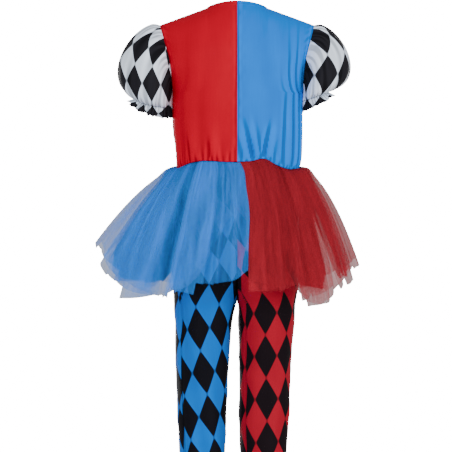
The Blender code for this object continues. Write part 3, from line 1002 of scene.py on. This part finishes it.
@dataclass
class Sleeves:
    """The two puff sleeves, each a tube from the armhole through its elastic cuff to the frill below it."""

    bodice: Bodice
    gathers: int = 12
    small_gathers: int = 31
    tiny_gathers: int = 53
    gather_share: float = 0.30
    head_fade: float = 0.08
    around: int = 264
    rows: int = 78
    frill_rows: int = 16
    elastic_rows: int = 6
    frill_length: float = 15.0
    frill_uneven: float = 0.06
    outer_shortening: float = 3.8
    back_flare: float = 14.0
    frill_fullness: float = 14.0
    head_fullness: float = 24.0
    head_ripple: float = 2.1
    cuff_ripple: float = 2.5
    inner_reach: float = 4.2
    inner_reach_rows: tuple[float, float] = (0.05, 0.45)
    side_bulge: float = 20.0
    underarm_reach: float = 4.0
    underarm_rise: float = 6.0
    thickness: float = 0.8
    # The bend at which a sleeve's trough gets the full painted shade; lower paints stronger shade.
    sharp_trough: float = 0.035
    area_share: float = 0.75
    lozenge: tuple[float, float] = (31.0, 53.0)
    forms: dict[Side, SleeveForm] = given(
        {
            Side.LEFT: SleeveForm(
                cuff_x=115.9, cuff_height=-134.5, cuff_half_width=24.6, cuff_half_depth=25.5,
                tilt=12.0, pitch=16.0, head_reach=42.0, head_lift=5.0, bulge=62.0, hang=-12.0,
                flare=58.0, seed=30, lean=17.6,
                across=dict(start=-2.4, turn=2.5, rise=2.35, cos=0.25, sin2=-0.65, cos2=-0.75, rise_cos=-0.8),
                along=dict(start=-1.85, rise=4.0, sin2=0.25, rise_cos=0.3, rise2=-0.35),
            ),
            Side.RIGHT: SleeveForm(
                cuff_x=109.0, cuff_height=-127.0, cuff_half_width=17.2, cuff_half_depth=30.0,
                tilt=24.0, pitch=4.0, head_reach=41.0, head_lift=4.0, bulge=64.0, hang=18.0,
                flare=34.0, seed=40, lean=11.8,
                across=dict(start=5.8, turn=-2.8, rise=-1.9, cos=0.35, cos2=0.15),
                along=dict(start=-1.95, rise=3.55, sin2=0.2),
            ),
        }
    )

    def count(self, weights: dict[str, float], turn: Array, rise: Array) -> Array:
        """Counts half lozenges from the middle of the cuff: a weighted sum of the turn, the rise and waves.

        Args:
            weights: the weight of each named term.
            turn: radians about the sleeve's axis.
            rise: hundreds of millimetres along it.

        Returns:
            The count at each point.
        """
        terms = {"start": 1.0, "turn": turn, "rise": rise, "rise2": rise**2, "rise_cos": rise * np.cos(turn)}
        terms.update(cos=np.cos(turn), sin2=np.sin(2 * turn), cos2=np.cos(2 * turn))
        return sum(weight * terms[name] for name, weight in weights.items())

    def lay(self, form: SleeveForm, plain: Array) -> Array:
        """Each point's place on the flat cloth, whose lozenges stand upright on the sleeve's leaning axis.

        Half lozenges are counted across and along, by the turn about the axis and by the rise along it. The
        front mirrors the back.

        Args:
            form: the sleeve's own sizes.
            plain: the sleeve's points without gathers, x on the side's own positive axis.

        Returns:
            The flat coordinates, with one column more than the points, for the closing seam.
        """
        sine, cosine = math.sin(math.radians(form.lean)), math.cos(math.radians(form.lean))
        from_cuff = plain - plain[self.rows].mean(axis=0)
        rise = from_cuff @ np.array([-sine, 0.0, cosine]) / 100
        turn = np.unwrap(np.arctan2(from_cuff[..., 1], from_cuff @ np.array([cosine, 0.0, sine])), axis=1)
        rise = np.concatenate([rise, rise[:, :1]], axis=1)
        turn = np.concatenate([turn, turn[:, :1] + 2 * math.pi], axis=1)
        outermost, half = self.count(form.across, 0 * turn, rise), np.abs(turn)
        across = outermost + np.sign(turn) * (self.count(form.across, half, rise) - outermost)
        return np.stack([across, self.count(form.along, half, rise)], axis=-1) * self.lozenge / 2

    def head_rings(self, side: Side, turn: Array) -> tuple[Array, Array, Array]:
        """The armhole's ring, on the bodice's edge, and the ring beyond it that makes the head full.

        Seen from the side the armhole is an ellipse. Up to its middle it lies on the bodice's edge, and from
        there it leans to the shoulder's tip. The ring beyond it reaches out most on the outer side and least
        under the arm.

        Args:
            side: the wearer's side.
            turn: radians round the sleeve from its outer side.

        Returns:
            The armhole's ring, the ring beyond it and the way outwards round the armhole.
        """
        form, bodice = self.forms[side], self.bodice
        outer_side, across = (1 + np.cos(turn)) / 2, np.sin(turn)
        middle, reach_up = bodice.armhole_middle, bodice.shoulder_height - bodice.armhole_middle
        height = middle + reach_up * np.cos(turn)
        below = bodice.form.at(side.value, np.minimum(height, middle))
        edge = below + (bodice.shoulder_tip - below) * np.clip((height - middle) / reach_up, 0, 1)
        head = np.stack([edge, bodice.armhole_depth * across, height], axis=-1)
        head_round = np.stack([0 * turn, across, np.cos(turn)], axis=-1)
        head_reach = self.underarm_reach + (form.head_reach - self.underarm_reach) * outer_side
        beyond = head + np.stack([head_reach, 0 * turn, 0 * turn], axis=-1)
        beyond += head_round * (form.head_lift * outer_side + self.head_fullness * across**2)[:, None]
        return head, beyond, head_round

    def cuff_rings(self, form: SleeveForm, turn: Array) -> tuple[Array, Array, Array, Array]:
        """The cuff's ring, a tilted ellipse, and the ring above it that makes the sleeve bulge.

        The ring above lies out from the cuff's by a power of the outer side's share, bulges to the back and
        front, and hangs down or is drawn up on the outer side.

        Args:
            form: the sleeve's own sizes.
            turn: radians round the sleeve from its outer side.

        Returns:
            The cuff's ring, the ring above it, the way outwards round the cuff and the way down.
        """
        outer_side, across = (1 + np.cos(turn)) / 2, np.sin(turn)
        tilt, pitch = math.radians(form.tilt), math.radians(form.pitch)
        cuff_across = np.array([math.cos(tilt), 0.0, math.sin(tilt)])
        level_down, level_back = np.array([math.sin(tilt), 0.0, -math.cos(tilt)]), np.array([0.0, 1.0, 0.0])
        down = math.cos(pitch) * level_down - math.sin(pitch) * level_back
        backward = math.cos(pitch) * level_back + math.sin(pitch) * level_down
        cuff_round = np.cos(turn)[:, None] * cuff_across + across[:, None] * backward
        cuff = np.array([form.cuff_x, 0.0, form.cuff_height])
        cuff = cuff + np.cos(turn)[:, None] * cuff_across * form.cuff_half_width
        cuff = cuff + across[:, None] * backward * form.cuff_half_depth
        above = cuff + cuff_round * (form.bulge * outer_side**1.5)[:, None]
        above = above + backward * (self.side_bulge * across * np.abs(across))[:, None]
        above = above + down * (form.hang * outer_side**2)[:, None]
        above[:, 2] += self.underarm_rise * (1 - outer_side)
        return cuff, above, cuff_round, down

    def drifts(self, form: SleeveForm, turn: Array) -> list[Array]:
        """Five uneven curves round the sleeve, from broad to fine. Each meets itself at the closing seam."""
        key = 6 * np.cos(turn) + 4 * np.sin(turn)
        return [uneven(key / pitch, form.seed + step) for step, pitch in enumerate((3, 3, 2, 2, 1))]

    def ripples(self, turn: Array, drifts: list[Array], t: Array, share: Array) -> tuple[Array, Array]:
        """How far gathers raise each point: broad, small and tiny waves of the turn, added up.

        On the sleeve they are highest at the head and at the cuff and die away between them. On the frill the
        broad ones grow towards the edge and the tiny ones die away.

        Args:
            turn: radians round the sleeve from its outer side.
            drifts: the uneven curves that shift the waves and their reach.
            t: each row's share of the way from the armhole to the cuff.
            share: each row's share of the way down the frill.

        Returns:
            The heights on the sleeve and those on its frill.
        """
        room = 0.25 + 0.75 * (1 + np.cos(turn)) / 2
        main = (gather_wave(self.gathers * turn) * (1 + 0.3 * np.sin(3 * turn + 1)) * room)[:, None]
        small = (np.cos(self.small_gathers * turn + 2.2 * drifts[0]) * room)[:, None]
        tiny = np.cos(self.tiny_gathers * turn + 3.0 * drifts[1])[:, None]
        fade_in, from_cuff = np.minimum(1.0, t / self.head_fade), 1 - t
        at_head = bell(t / (self.gather_share * (1 + 0.35 * drifts[2]))[:, None]) * fade_in
        at_cuff = bell(from_cuff / (self.gather_share * (1 + 0.30 * drifts[3]))[:, None])
        at_cuff = at_cuff * np.minimum(1.0, 0.35 + from_cuff / 0.1)
        ripple = main * (self.head_ripple * at_head + self.cuff_ripple * at_cuff)
        ripple = ripple + small * (0.8 * bell(t / 0.17) * fade_in + 0.9 * bell(from_cuff / 0.16))
        ripple = ripple + tiny * (0.30 * bell(t / 0.07) * fade_in + 0.40 * bell(from_cuff / 0.06))
        return ripple, main * (0.7 + 1.7 * share) + small * (0.9 + 0.5 * share) + tiny * 0.4 * (1 - share)

    def surface(self, side: Side) -> Surface:
        """The sleeve: each line along it is a cubic curve from the armhole to the cuff, then the frill.

        The line is full on the outer side and short under the arm, and its gathers ripple it outwards. The
        frill flares by an angle that is widest on the outer side.

        Args:
            side: the wearer's side.

        Returns:
            The sleeve's grid, the armhole ring first.
        """
        form, turn = self.forms[side], np.linspace(-math.pi, math.pi, self.around, endpoint=False)
        outer_side, drifts = (1 + np.cos(turn)) / 2, self.drifts(form, turn)
        head, first, head_round = self.head_rings(side, turn)
        cuff, second, cuff_round, down = self.cuff_rings(form, turn)
        t = ((1 - np.cos(np.linspace(0, 1, self.rows + 1) * math.pi)) / 2)[:, None, None]
        line = (1 - t) ** 3 * head + 3 * t * (1 - t) ** 2 * first + 3 * t**2 * (1 - t) * second + t**3 * cuff

        share = (np.arange(1, self.frill_rows + 1) / self.frill_rows)[:, None, None]
        flare = form.tilt + self.back_flare * np.sin(turn) ** 2 + (form.flare - form.tilt) * outer_side**3
        out, length = np.radians(flare)[:, None], self.frill_length * (1 + self.frill_uneven * drifts[4])
        drop = (length - self.outer_shortening * outer_side**3)[:, None]
        frill = cuff + drop * share * (down * np.cos(out) + cuff_round * np.sin(out))

        plain = np.concatenate([line, frill])
        inward = step_up(np.arange(len(plain)) / self.rows, *self.inner_reach_rows)[:, None]
        plain[..., 0] -= self.inner_reach * (1 - outer_side) ** 2 * inward
        ripple, wave = self.ripples(turn, drifts, t, share)
        direction = (1 - t) * head_round + t * cuff_round
        points = plain + np.concatenate([direction * ripple, cuff_round * wave])
        points[..., 0] *= side.sign
        flat = self.lay(form, plain)
        flat[self.rows + 1 :, :, 1] -= self.frill_fullness * share[..., 0]
        heights = np.concatenate([ripple, wave])[..., 0]
        return Surface(points, flat, ring=True).with_painted_shade(heights, self.sharp_trough)

    def build(self, cloth: dict[str, Material]) -> None:
        """Makes both sleeves and the two rows of stitches that hold each cuff's elastic.

        Args:
            cloth: the materials by name.
        """
        slot = "white_black_lozenge"
        for side in Side:
            node, surface = f"sleeve_{side.value}", self.surface(side)
            piece = surface.make(f"{node}_cloth", cloth[slot], self.thickness)
            normals, stitched = surface.normals(), (self.rows - self.elastic_rows, self.rows)
            rows = [Seam(surface.points[row], normals[row]) for row in stitched]
            sewn = sew(f"{node}_cuff_stitches", rows, cloth["black_thread"])
            declare(piece, node)


@dataclass(frozen=True)
class TulleLayer:
    """One layer of half a tutu: its gathers, its grid, its length as a share, its room inside the outer one.

    ragged is how far its hem rises and falls where its gores overlap, in millimetres. area_share is how
    much of its flat width times length the cut fills; nothing here reads it.
    """

    name: str
    flutes: int
    columns_each: int
    rows: int
    length: float
    wave: float
    room: float
    ragged: float
    seed: int
    area_share: float
    solid: bool = True


@dataclass(frozen=True)
class Parting:
    """A place where the inner layers part: its angle and width in degrees, and how much each hem lifts."""

    angle: float
    width: float
    middle: float
    under: float

    def lift(self, layer: str, angle: Array) -> Array:
        """How much shorter a layer's lines are at an angle, as a share of the skirt's drop."""
        return {"middle": self.middle, "under": self.under}[layer] * bell((angle - self.angle) / self.width)


@dataclass
class Tutu:
    """The two-coloured skirt of gathered tulle, with three layers to each half."""

    bodice: Bodice
    waist_gap: float = 0.7
    layers: tuple[TulleLayer, ...] = (
        TulleLayer("outer", 22, 20, 46, 1.0, 3.0, 0.0, 9.0, 0, 0.80),
        TulleLayer("middle", 17, 16, 32, 1.01, 2.2, 3.0, 8.0, 10, 0.70, solid=False),
        TulleLayer("under", 12, 20, 32, 1.0, 2.4, 13.0, 6.0, 20, 0.70),
    )
    partings: dict[Side, tuple[Parting, ...]] = given(
        {
            Side.LEFT: (
                Parting(12.0, 8.0, 0.34, 0.30),
                Parting(10.0, 15.0, 0.10, 0.28),
                Parting(98.0, 5.0, 0.2, 0.2),
                Parting(140.0, 6.0, 0.12, 0.12),
            ),
            Side.RIGHT: (
                Parting(30.0, 3.0, 0.12, 0.25),
                Parting(64.5, 3.2, 0.62, 0.62),
                Parting(115.5, 4.5, 0.65, 0.65),
                Parting(156.0, 6.0, 0.4, 0.4),
            ),
        }
    )
    side_room: dict[Side, float] = given({Side.LEFT: 15.0, Side.RIGHT: 10.0})
    hem_seeds: dict[Side, int] = given({Side.LEFT: 95, Side.RIGHT: 78})
    side_lining: dict[Side, float] = given({Side.LEFT: 0.05, Side.RIGHT: 0.04})
    puff: float = 3.5
    layer_gap: float = 1.3
    thickness: float = 0.3
    sizes: Table = Table(
        "angle left_reach left_drop right_reach right_drop",
        (0, 64, 151, 64, 167),
        (9, 64.5, 167, 64, 169),
        (30, 66, 171, 64, 176),
        (45, 71, 174, 66, 178),
        (60, 86, 163, 74, 165),
        (75, 104, 138, 79, 144),
        (90, 115, 107, 80, 128),
        (105, 104, 134, 79, 142),
        (125, 82, 160, 72, 164),
        (150, 62, 168, 62, 168),
        (180, 58, 166, 58, 166),
    )
    parting: Table = Table(
        "share x", (0, -4), (0.15, -9.5), (0.35, -12), (0.6, -16.5), (0.8, -15), (1, -14.5)
    )

    def smooth(self, side: Side, angle: Array, along: Array) -> Array:
        """The plain half skirt from the waist ring (along = 0) to the hem (1), each line a three-point curve.

        The middle point lies well out and little down at the sides, so that the skirt stands away there
        like a dome. The whole surface slips sideways near the middle of the back, where the two colours
        part.

        Args:
            side: the wearer's side.
            angle: degrees from the middle of the back, for each column.
            along: the share of the way down each line.

        Returns:
            The points, rows by columns.
        """
        turn = np.radians(angle)
        back, front = (self.bodice.waist_point(side, face, angle) for face in Face)
        reach, drop = (self.sizes.at(f"{side.value}_{size}", angle) for size in ("reach", "drop"))
        level = np.sin(turn) ** 2
        bow = level**3 * (side is Side.LEFT)
        middle_out = reach * (0.30 + 0.18 * level - 0.08 * bow)
        middle_down = drop * (0.22 - 0.16 * level + 0.07 * bow)
        out = 2 * along * (1 - along) * middle_out + along**2 * reach
        down = 2 * along * (1 - along) * middle_down + along**2 * drop
        x = side.sign * (back[0] + out * np.sin(turn))
        x = x + self.parting.at("x", along) * np.where(angle < 90, np.cos(turn), 0.0) ** 6
        y = np.where(angle <= 90, back[1], front[1]) + out * np.cos(turn)
        return np.stack([x, y, back[2] - self.waist_gap - down], axis=-1)

    def surface(self, side: Side, layer: TulleLayer) -> Surface:
        """A layer: flutes that grow from nothing at the waist to the hem, raised along the plain normals.

        The flutes are uneven in width, by a drift of their angles, and in depth, by slow curves of their
        number. Loose folds cross them, and small crinkles start deep at the gathered waist and run out down
        the skirt.

        Args:
            side: the wearer's side.
            layer: the layer's sizes.

        Returns:
            The layer's grid.
        """
        share = np.linspace(0, 1, layer.flutes * layer.columns_each + 1)
        drift = 0.35 * (np.sin(share * 5 * math.pi) / 5 + np.sin(share * 13 * math.pi) / 13)
        angle = 180 * (share + drift / math.pi)
        seed = (50 if side is Side.LEFT else 60) + layer.seed
        count, inner, sine = share * layer.flutes, layer.room > 0, np.sin(np.radians(angle))
        hem = (np.linspace(0, 1, layer.rows + 1) ** 1.15)[:, None]
        ragged = layer.ragged * gores(count, seed + self.hem_seeds[side])
        length = layer.length + ragged / self.sizes.at(f"{side.value}_drop", angle)
        if inner:
            length += self.side_lining[side] * sine**6
            length -= sum(parting.lift(layer.name, angle) for parting in self.partings[side])
        along = length * hem
        surface = Surface(self.smooth(side, angle, along))
        depth = 1 + 0.22 * np.sin(2.1 * count + 1.0) + 0.16 * np.sin(5.3 * count)
        swing = np.cos(2 * math.pi * count) * depth
        calm = 0.42 + 0.55 * uneven(count / 4.5, seed + 2)
        loose = 2.2 * uneven(count * 0.42 + 0.2 * hem, seed + 3)
        loose += 0.7 * uneven(count * 1.1 - 0.2 * hem, seed + 4)
        growth = hem * (1 - (1 - hem) ** 5)
        crinkle_depth = 0.6 * step_up(hem, 0, 0.05) * bell(hem / 0.34) + 0.16 * hem
        fine_depth = 0.35 * step_up(hem, 0, 0.04) * bell(hem / 0.25) + 0.08 * hem
        crinkle = uneven(count * 3.1 + 0.25 * hem, seed + 5) * crinkle_depth
        fine = uneven(count * 6.5, seed + 6) * fine_depth
        inset = inner * (self.layer_gap + (layer.room + self.side_room[side] * sine**6) * growth)
        puff = self.puff * bell((hem - 0.13) / 0.10) * sine**4
        surface = surface.raised(growth * (layer.wave * calm * swing + loose) - inset + puff + crinkle + fine)
        line = self.parting.at("x", along) * (angle < 90)
        own = side.sign * (surface.points[..., 0] - line)
        surface.points[..., 0] = line + side.sign * np.maximum(own, 0.0)
        hem_steps = np.diff(self.smooth(side, angle, np.ones((1, 1)))[0, :, :2], axis=0)
        surface.flat[..., 0] = side.sign * share * np.linalg.norm(hem_steps, axis=1).sum()
        surface.flat[..., 1] = -surface.lengths(0)
        return surface

    def build(self, cloth: dict[str, Material]) -> None:
        """Makes the three layers of each half.

        Args:
            cloth: the materials by name.
        """
        for side, slot in ((Side.LEFT, "blue_tulle"), (Side.RIGHT, "red_tulle")):
            for layer in self.layers:
                name = f"tutu_{side.value}_{layer.name}"
                piece = self.surface(side, layer).make(f"{name}_cloth", cloth[slot], self.thickness)
                node = name if layer.solid else ""
                declare(piece, node)


@dataclass(frozen=True)
class PatternLay:
    """How a printed cloth lies on a leg: turned and shifted against the leg's own lines.

    Each new coordinate is a share of the old across, one of the old along, and an offset. strip is the
    turns, in radians from the leg's outer side, between which the neighbouring panel's cloth reaches round,
    and jump is how far its pattern is off. slip is how far the print leans, for each millimetre above
    slip_height.
    """

    across: tuple[float, float, float]
    along: tuple[float, float, float]
    strip: tuple[float, float] = (0.0, 0.0)
    jump: tuple[float, float] = (16.6, 15.0)
    strip_top: float = -300.0
    slip: float = 0.0
    slip_height: float = -388.0

    def lay(self, flat: Array, turn: Array, z: Array) -> Array:
        """Turns and shifts the print.

        Args:
            flat: the flat coordinates before.
            turn: each point's turn from the leg's outer side.
            z: each point's height.

        Returns:
            The flat coordinates after.
        """
        both = (self.across, self.along)
        laid = np.stack([a * flat[..., 0] + b * flat[..., 1] + shift for a, b, shift in both], axis=-1)
        laid[..., 0] += self.slip * np.maximum(z - self.slip_height, 0.0)
        beyond = (turn > self.strip[0]) & (turn < self.strip[1]) & (z < self.strip_top)
        return laid + beyond[..., None] * np.array(self.jump)


@dataclass
class Leggings:
    """The two legs, each of a back and a front panel that meet at the sides, with narrow ankle hems."""

    bodice: Bodice
    inset: float = 3.4
    columns: int = 52
    rows: int = 190
    join_rows: int = 12
    thickness: float = 0.8
    hem: float = 14.0
    hem_rise: float = 0.45
    stitch_inset: float = 2.0
    area_share: float = 0.62
    seam_depth: float = 0.6
    groove_depth: float = 0.5
    form: Table = Table(
        "height left_centre left_half right_centre right_half back front square",
        (-250, 2, 81.5, 2, 82.5, 57.5, 73, 0.88),
        (-290, 8, 80, 7, 80, 64, 70, 0.92),
        (-330, 18, 72, 16, 71.5, 70, 66, 1),
        (-370, 31, 59, 28, 58, 66, 60, 1),
        (-398, 41, 48, 38, 46.5, 57, 52, 1),
        (-407, 43, 45.4, 40, 43.6, 54, 50, 1),
        (-414, 44.2, 43.8, 41.2, 41.1, 51, 48, 1),
        (-440, 46.5, 40.3, 41.2, 39.8, 46, 44, 1),
        (-479, 48.3, 38.5, 39.9, 37.3, 42, 40, 1),
        (-520, 49, 36.2, 39, 35.8, 38.5, 36.5, 1),
        (-580, 49, 33.8, 37.6, 34.6, 36.5, 33.5, 1),
        (-650, 48.5, 31, 37, 31, 33, 30.5, 1),
        (-712, 48, 28.5, 37, 28.5, 29.5, 28.5, 1),
    )
    lays: dict[tuple[Side, Face], PatternLay] = given(
        {
            (Side.LEFT, Face.BACK): PatternLay(
                (0.99, 0.163, 80.5), (-0.10, 0.993, 415.2), strip=(0.0, 0.72), slip=0.30
            ),
            (Side.LEFT, Face.FRONT): PatternLay((0.99, -0.10, 9.0), (0.08, 0.993, 20.0)),
            (Side.RIGHT, Face.BACK): PatternLay((1.005, 0.046, 22.9), (-0.045, 1.02, 406.0), (2.4, 3.2)),
            (Side.RIGHT, Face.FRONT): PatternLay((1.0, -0.05, 4.0), (0.05, 1.0, 12.0)),
        }
    )

    def smooth(self, side: Side, face: Face) -> tuple[Surface, Array]:
        """The panel's plain form: level ovals, cut at x = 0 above the crotch and whole below it.

        Args:
            side: the wearer's side.
            face: back or front.

        Returns:
            The grid with its flat coordinates, across from the middle of the leg, and each point's turn.
        """
        u = np.linspace(0, 1, self.columns + 1)
        angle = 90 - 90 * u if face is Face.BACK else 90 + 90 * u
        top_x, top_y, top_height = self.bodice.waist_point(side, face, angle, self.inset)
        keys = self.form.keys
        height = np.linspace(keys[-1], keys[0], self.rows + 1)[:, None]
        centre, half = (self.form.at(f"{side.value}_{size}", height) for size in ("centre", "half"))
        depth, square = self.form.at(face.value, height), self.form.at("square", height)
        turn = u * np.arccos(-np.minimum(centre / half, 1.0))
        x, y = centre + half * np.cos(turn), depth * rounded(np.sin(turn), square)
        blend = np.linspace(0, 1, self.join_rows + 1)[:-1, None]
        x = np.concatenate([top_x + (x[0] - top_x) * blend, x])
        y = np.concatenate([np.abs(top_y) + (y[0] - np.abs(top_y)) * blend, y])
        z = np.concatenate([top_height + (keys[-1] - top_height) * blend, height + 0 * u])
        turn = np.concatenate([turn[:1] + 0 * blend, turn])
        surface = Surface(np.stack([side.sign * x, face.facing * y, z], axis=-1))
        across = surface.lengths(1)
        middle = np.array([np.interp(math.pi / 2, row_turn, row) for row_turn, row in zip(turn, across)])
        surface.flat[..., 0] = side.sign * face.facing * (across - middle[:, None])
        surface.flat[..., 1] = z
        return surface, turn

    def panel(self, side: Side, face: Face) -> Surface:
        """The finished panel with its seam valleys, soft creases and ankle hem.

        Args:
            side: the wearer's side.
            face: back or front.

        Returns:
            The panel's grid.
        """
        plain, turn = self.smooth(side, face)
        z, print_lay = plain.points[..., 2], self.lays[(side, face)]
        plain.flat = print_lay.lay(plain.flat, turn, z)
        from_side = plain.lengths(1)
        to_inside = from_side[:, -1:] - from_side
        seed = 70 + 4 * (side is Side.LEFT) + (face is Face.BACK)
        out = -self.seam_depth * (bell(from_side / 1.4) + bell(to_inside / 1.4))
        for edge in print_lay.strip:
            out -= self.groove_depth * bell((turn - edge) / 0.03) * (0.1 < edge < 3.1)
        out += 0.3 * uneven(z / 12, seed) * (bell((from_side - 4) / 4) + bell((to_inside - 4) / 4))
        out += 0.45 * uneven(turn * 1.2 + z / 160, seed + 1) + 0.55 * uneven(turn * 0.6 - z / 42, seed + 2)
        out += self.hem_rise * (1 - step_up(z - self.form.keys[0], self.hem - 0.6, self.hem + 0.5))
        surface = plain.raised(out * step_up(np.minimum(from_side, to_inside), -0.5, 1.5))
        surface.points[:, [0, -1]] = plain.points[:, [0, -1]]
        surface.keep_on(side, face)
        return surface

    def build(self, cloth: dict[str, Material]) -> None:
        """Makes the four panels and the stitches of the ankle hems.

        Args:
            cloth: the materials by name.
        """
        for side, slot in ((Side.LEFT, "blue_black_lozenge"), (Side.RIGHT, "red_black_lozenge")):
            for face in Face:
                node, surface = f"leg_{side.value}_{face.value}", self.panel(side, face)
                piece = surface.make(f"{node}_cloth", cloth[slot], self.thickness)
                hem = surface.near_end(self.hem - self.stitch_inset)
                sewn = sew(f"{node}_hem_stitches", [hem], cloth["black_thread"])
                declare(piece, node)


@dataclass
class Studio:
    """The pale floor, the soft lights and the camera at the photo's angle, in metres but for the floor."""

    camera_distance: float = 2.6
    camera_x: float = 0.0154
    camera_height: float = -0.308
    view_width: float = 0.633
    aim_height: float = -0.32
    floor_height: float = -735.0
    floor_radius: float = 620.0
    backdrop: float = 17.0
    seen_through: float = 0.6
    ambient: float = 0.55

    def floor(self) -> None:
        """Makes a round floor with a plain pale material."""
        turn = np.linspace(0, 2 * math.pi, 96, endpoint=False)
        ring = np.stack([np.cos(turn), np.sin(turn), 0 * turn], axis=-1) * self.floor_radius
        pale = mottled("pale floor", (0.80, 0.80, 0.80, 1.0), (0.86, 0.86, 0.86, 1.0), 60.0, 0.85)
        new_piece("floor", ring + [0.0, 0.0, self.floor_height], [range(len(turn))], pale)

    def light(self, name: str, place: Colour, size: float, power: float) -> None:
        """Makes a square area light that looks at the middle of the costume.

        Args:
            name: the light's name.
            place: where it hangs, in metres.
            size: the length of its side in metres.
            power: its power in watts.
        """
        lamp = bpy.data.lights.new(name, "AREA")
        lamp.energy, lamp.size = power, size
        thing = bpy.data.objects.new(name, lamp)
        bpy.context.scene.collection.objects.link(thing)
        aim = np.array([0.0, 0.0, self.aim_height]) - np.array(place)
        thing.location = place
        thing.rotation_euler = (math.acos(-aim[2] / np.linalg.norm(aim)), 0.0, math.atan2(-aim[0], aim[1]))

    def sky(self) -> None:
        """Makes the pale surroundings: bright for the camera, soft through the tulle, softer on the cloth."""
        world = bpy.data.worlds.new("pale studio")
        world.use_nodes = True
        sheet, sky = NodeSheet(world.node_tree), world.node_tree.nodes["Background"]
        rays = sheet.add("LightPath").outputs
        through = sheet.maths("GREATER_THAN", rays["Transparent Depth"], 0.5)
        dimmed = sheet.maths("MULTIPLY", through, self.backdrop - self.seen_through)
        seen = sheet.maths("SUBTRACT", sheet.maths("SUBTRACT", self.backdrop, dimmed), self.ambient)
        strength = sheet.maths("MULTIPLY_ADD", rays["Is Camera Ray"], seen, self.ambient)
        sheet.fill(sky, {"Strength": strength, "Color": (1.0, 1.0, 1.0, 1.0)})
        bpy.context.scene.world = world

    def camera(self) -> None:
        """Makes the camera, level with the middle of the photo and far back, for little perspective."""
        camera = bpy.data.cameras.new("camera")
        camera.lens = camera.sensor_width * self.camera_distance / self.view_width
        thing = bpy.data.objects.new("camera", camera)
        bpy.context.scene.collection.objects.link(thing)
        thing.location = (self.camera_x, self.camera_distance, self.camera_height)
        thing.rotation_euler = (math.pi / 2, 0.0, math.pi)
        bpy.context.scene.camera = thing

    def build(self) -> None:
        """Makes the floor, the surroundings, the lights and the camera."""
        self.floor()
        self.sky()
        self.light("key", (0.7, 2.7, 0.25), 1.4, 50.0)
        self.light("fill", (-2.1, 1.9, -0.1), 1.5, 42.0)
        self.light("front key", (-0.6, -2.7, 0.2), 1.5, 50.0)
        self.light("front fill", (1.2, -2.4, -0.2), 1.5, 26.0)
        self.camera()


def cloths(groups: Groups) -> dict[str, Material]:
    """Builds a material for each of the record's slots, and the threads.

    Args:
        groups: the shared node groups.

    Returns:
        The materials by name.
    """
    finishes = (
        Satin("red_satin", (0.50, 0.0010, 0.017)),
        Satin("blue_satin", (0.0006, 0.178, 0.72)),
        Satin("white_black_lozenge", (0.0145, 0.014, 0.018), (0.78, 0.87, 1.0), lozenge=(31.0, 53.0)),
        Satin("blue_black_lozenge", (0.0065, 0.0062, 0.009), (0.003, 0.146, 0.60)),
        Satin("red_black_lozenge", (0.0095, 0.006, 0.008), (0.36, 0.009, 0.023)),
        Tulle("blue_tulle", (0.036, 0.300, 0.98), film=0.135, thread=0.33),
        Tulle("red_tulle", (0.44, 0.021, 0.036), film=0.165, thread=0.37),
    )
    threads = (
        Thread("red_thread", (0.34, 0.004, 0.012)),
        Thread("blue_thread", (0.002, 0.12, 0.50)),
        Thread("black_thread", (0.02, 0.02, 0.024)),
    )
    made = {finish.name: finish.material(groups) for finish in finishes}
    return {**made, **{thread.name: thread.material() for thread in threads}}


def main() -> None:
    """Loads the frame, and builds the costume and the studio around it."""
    logging.basicConfig(level=logging.INFO, format="%(message)s")
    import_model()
    cloth = cloths(Groups.build())
    bodice = Bodice()
    for garment in (bodice, Sleeves(bodice), Tutu(bodice), Leggings(bodice)):
        garment.build(cloth)
        LOG.info("%s: built", type(garment).__name__)
    Studio().build()
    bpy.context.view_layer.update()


if __name__ == "__main__":
    main()
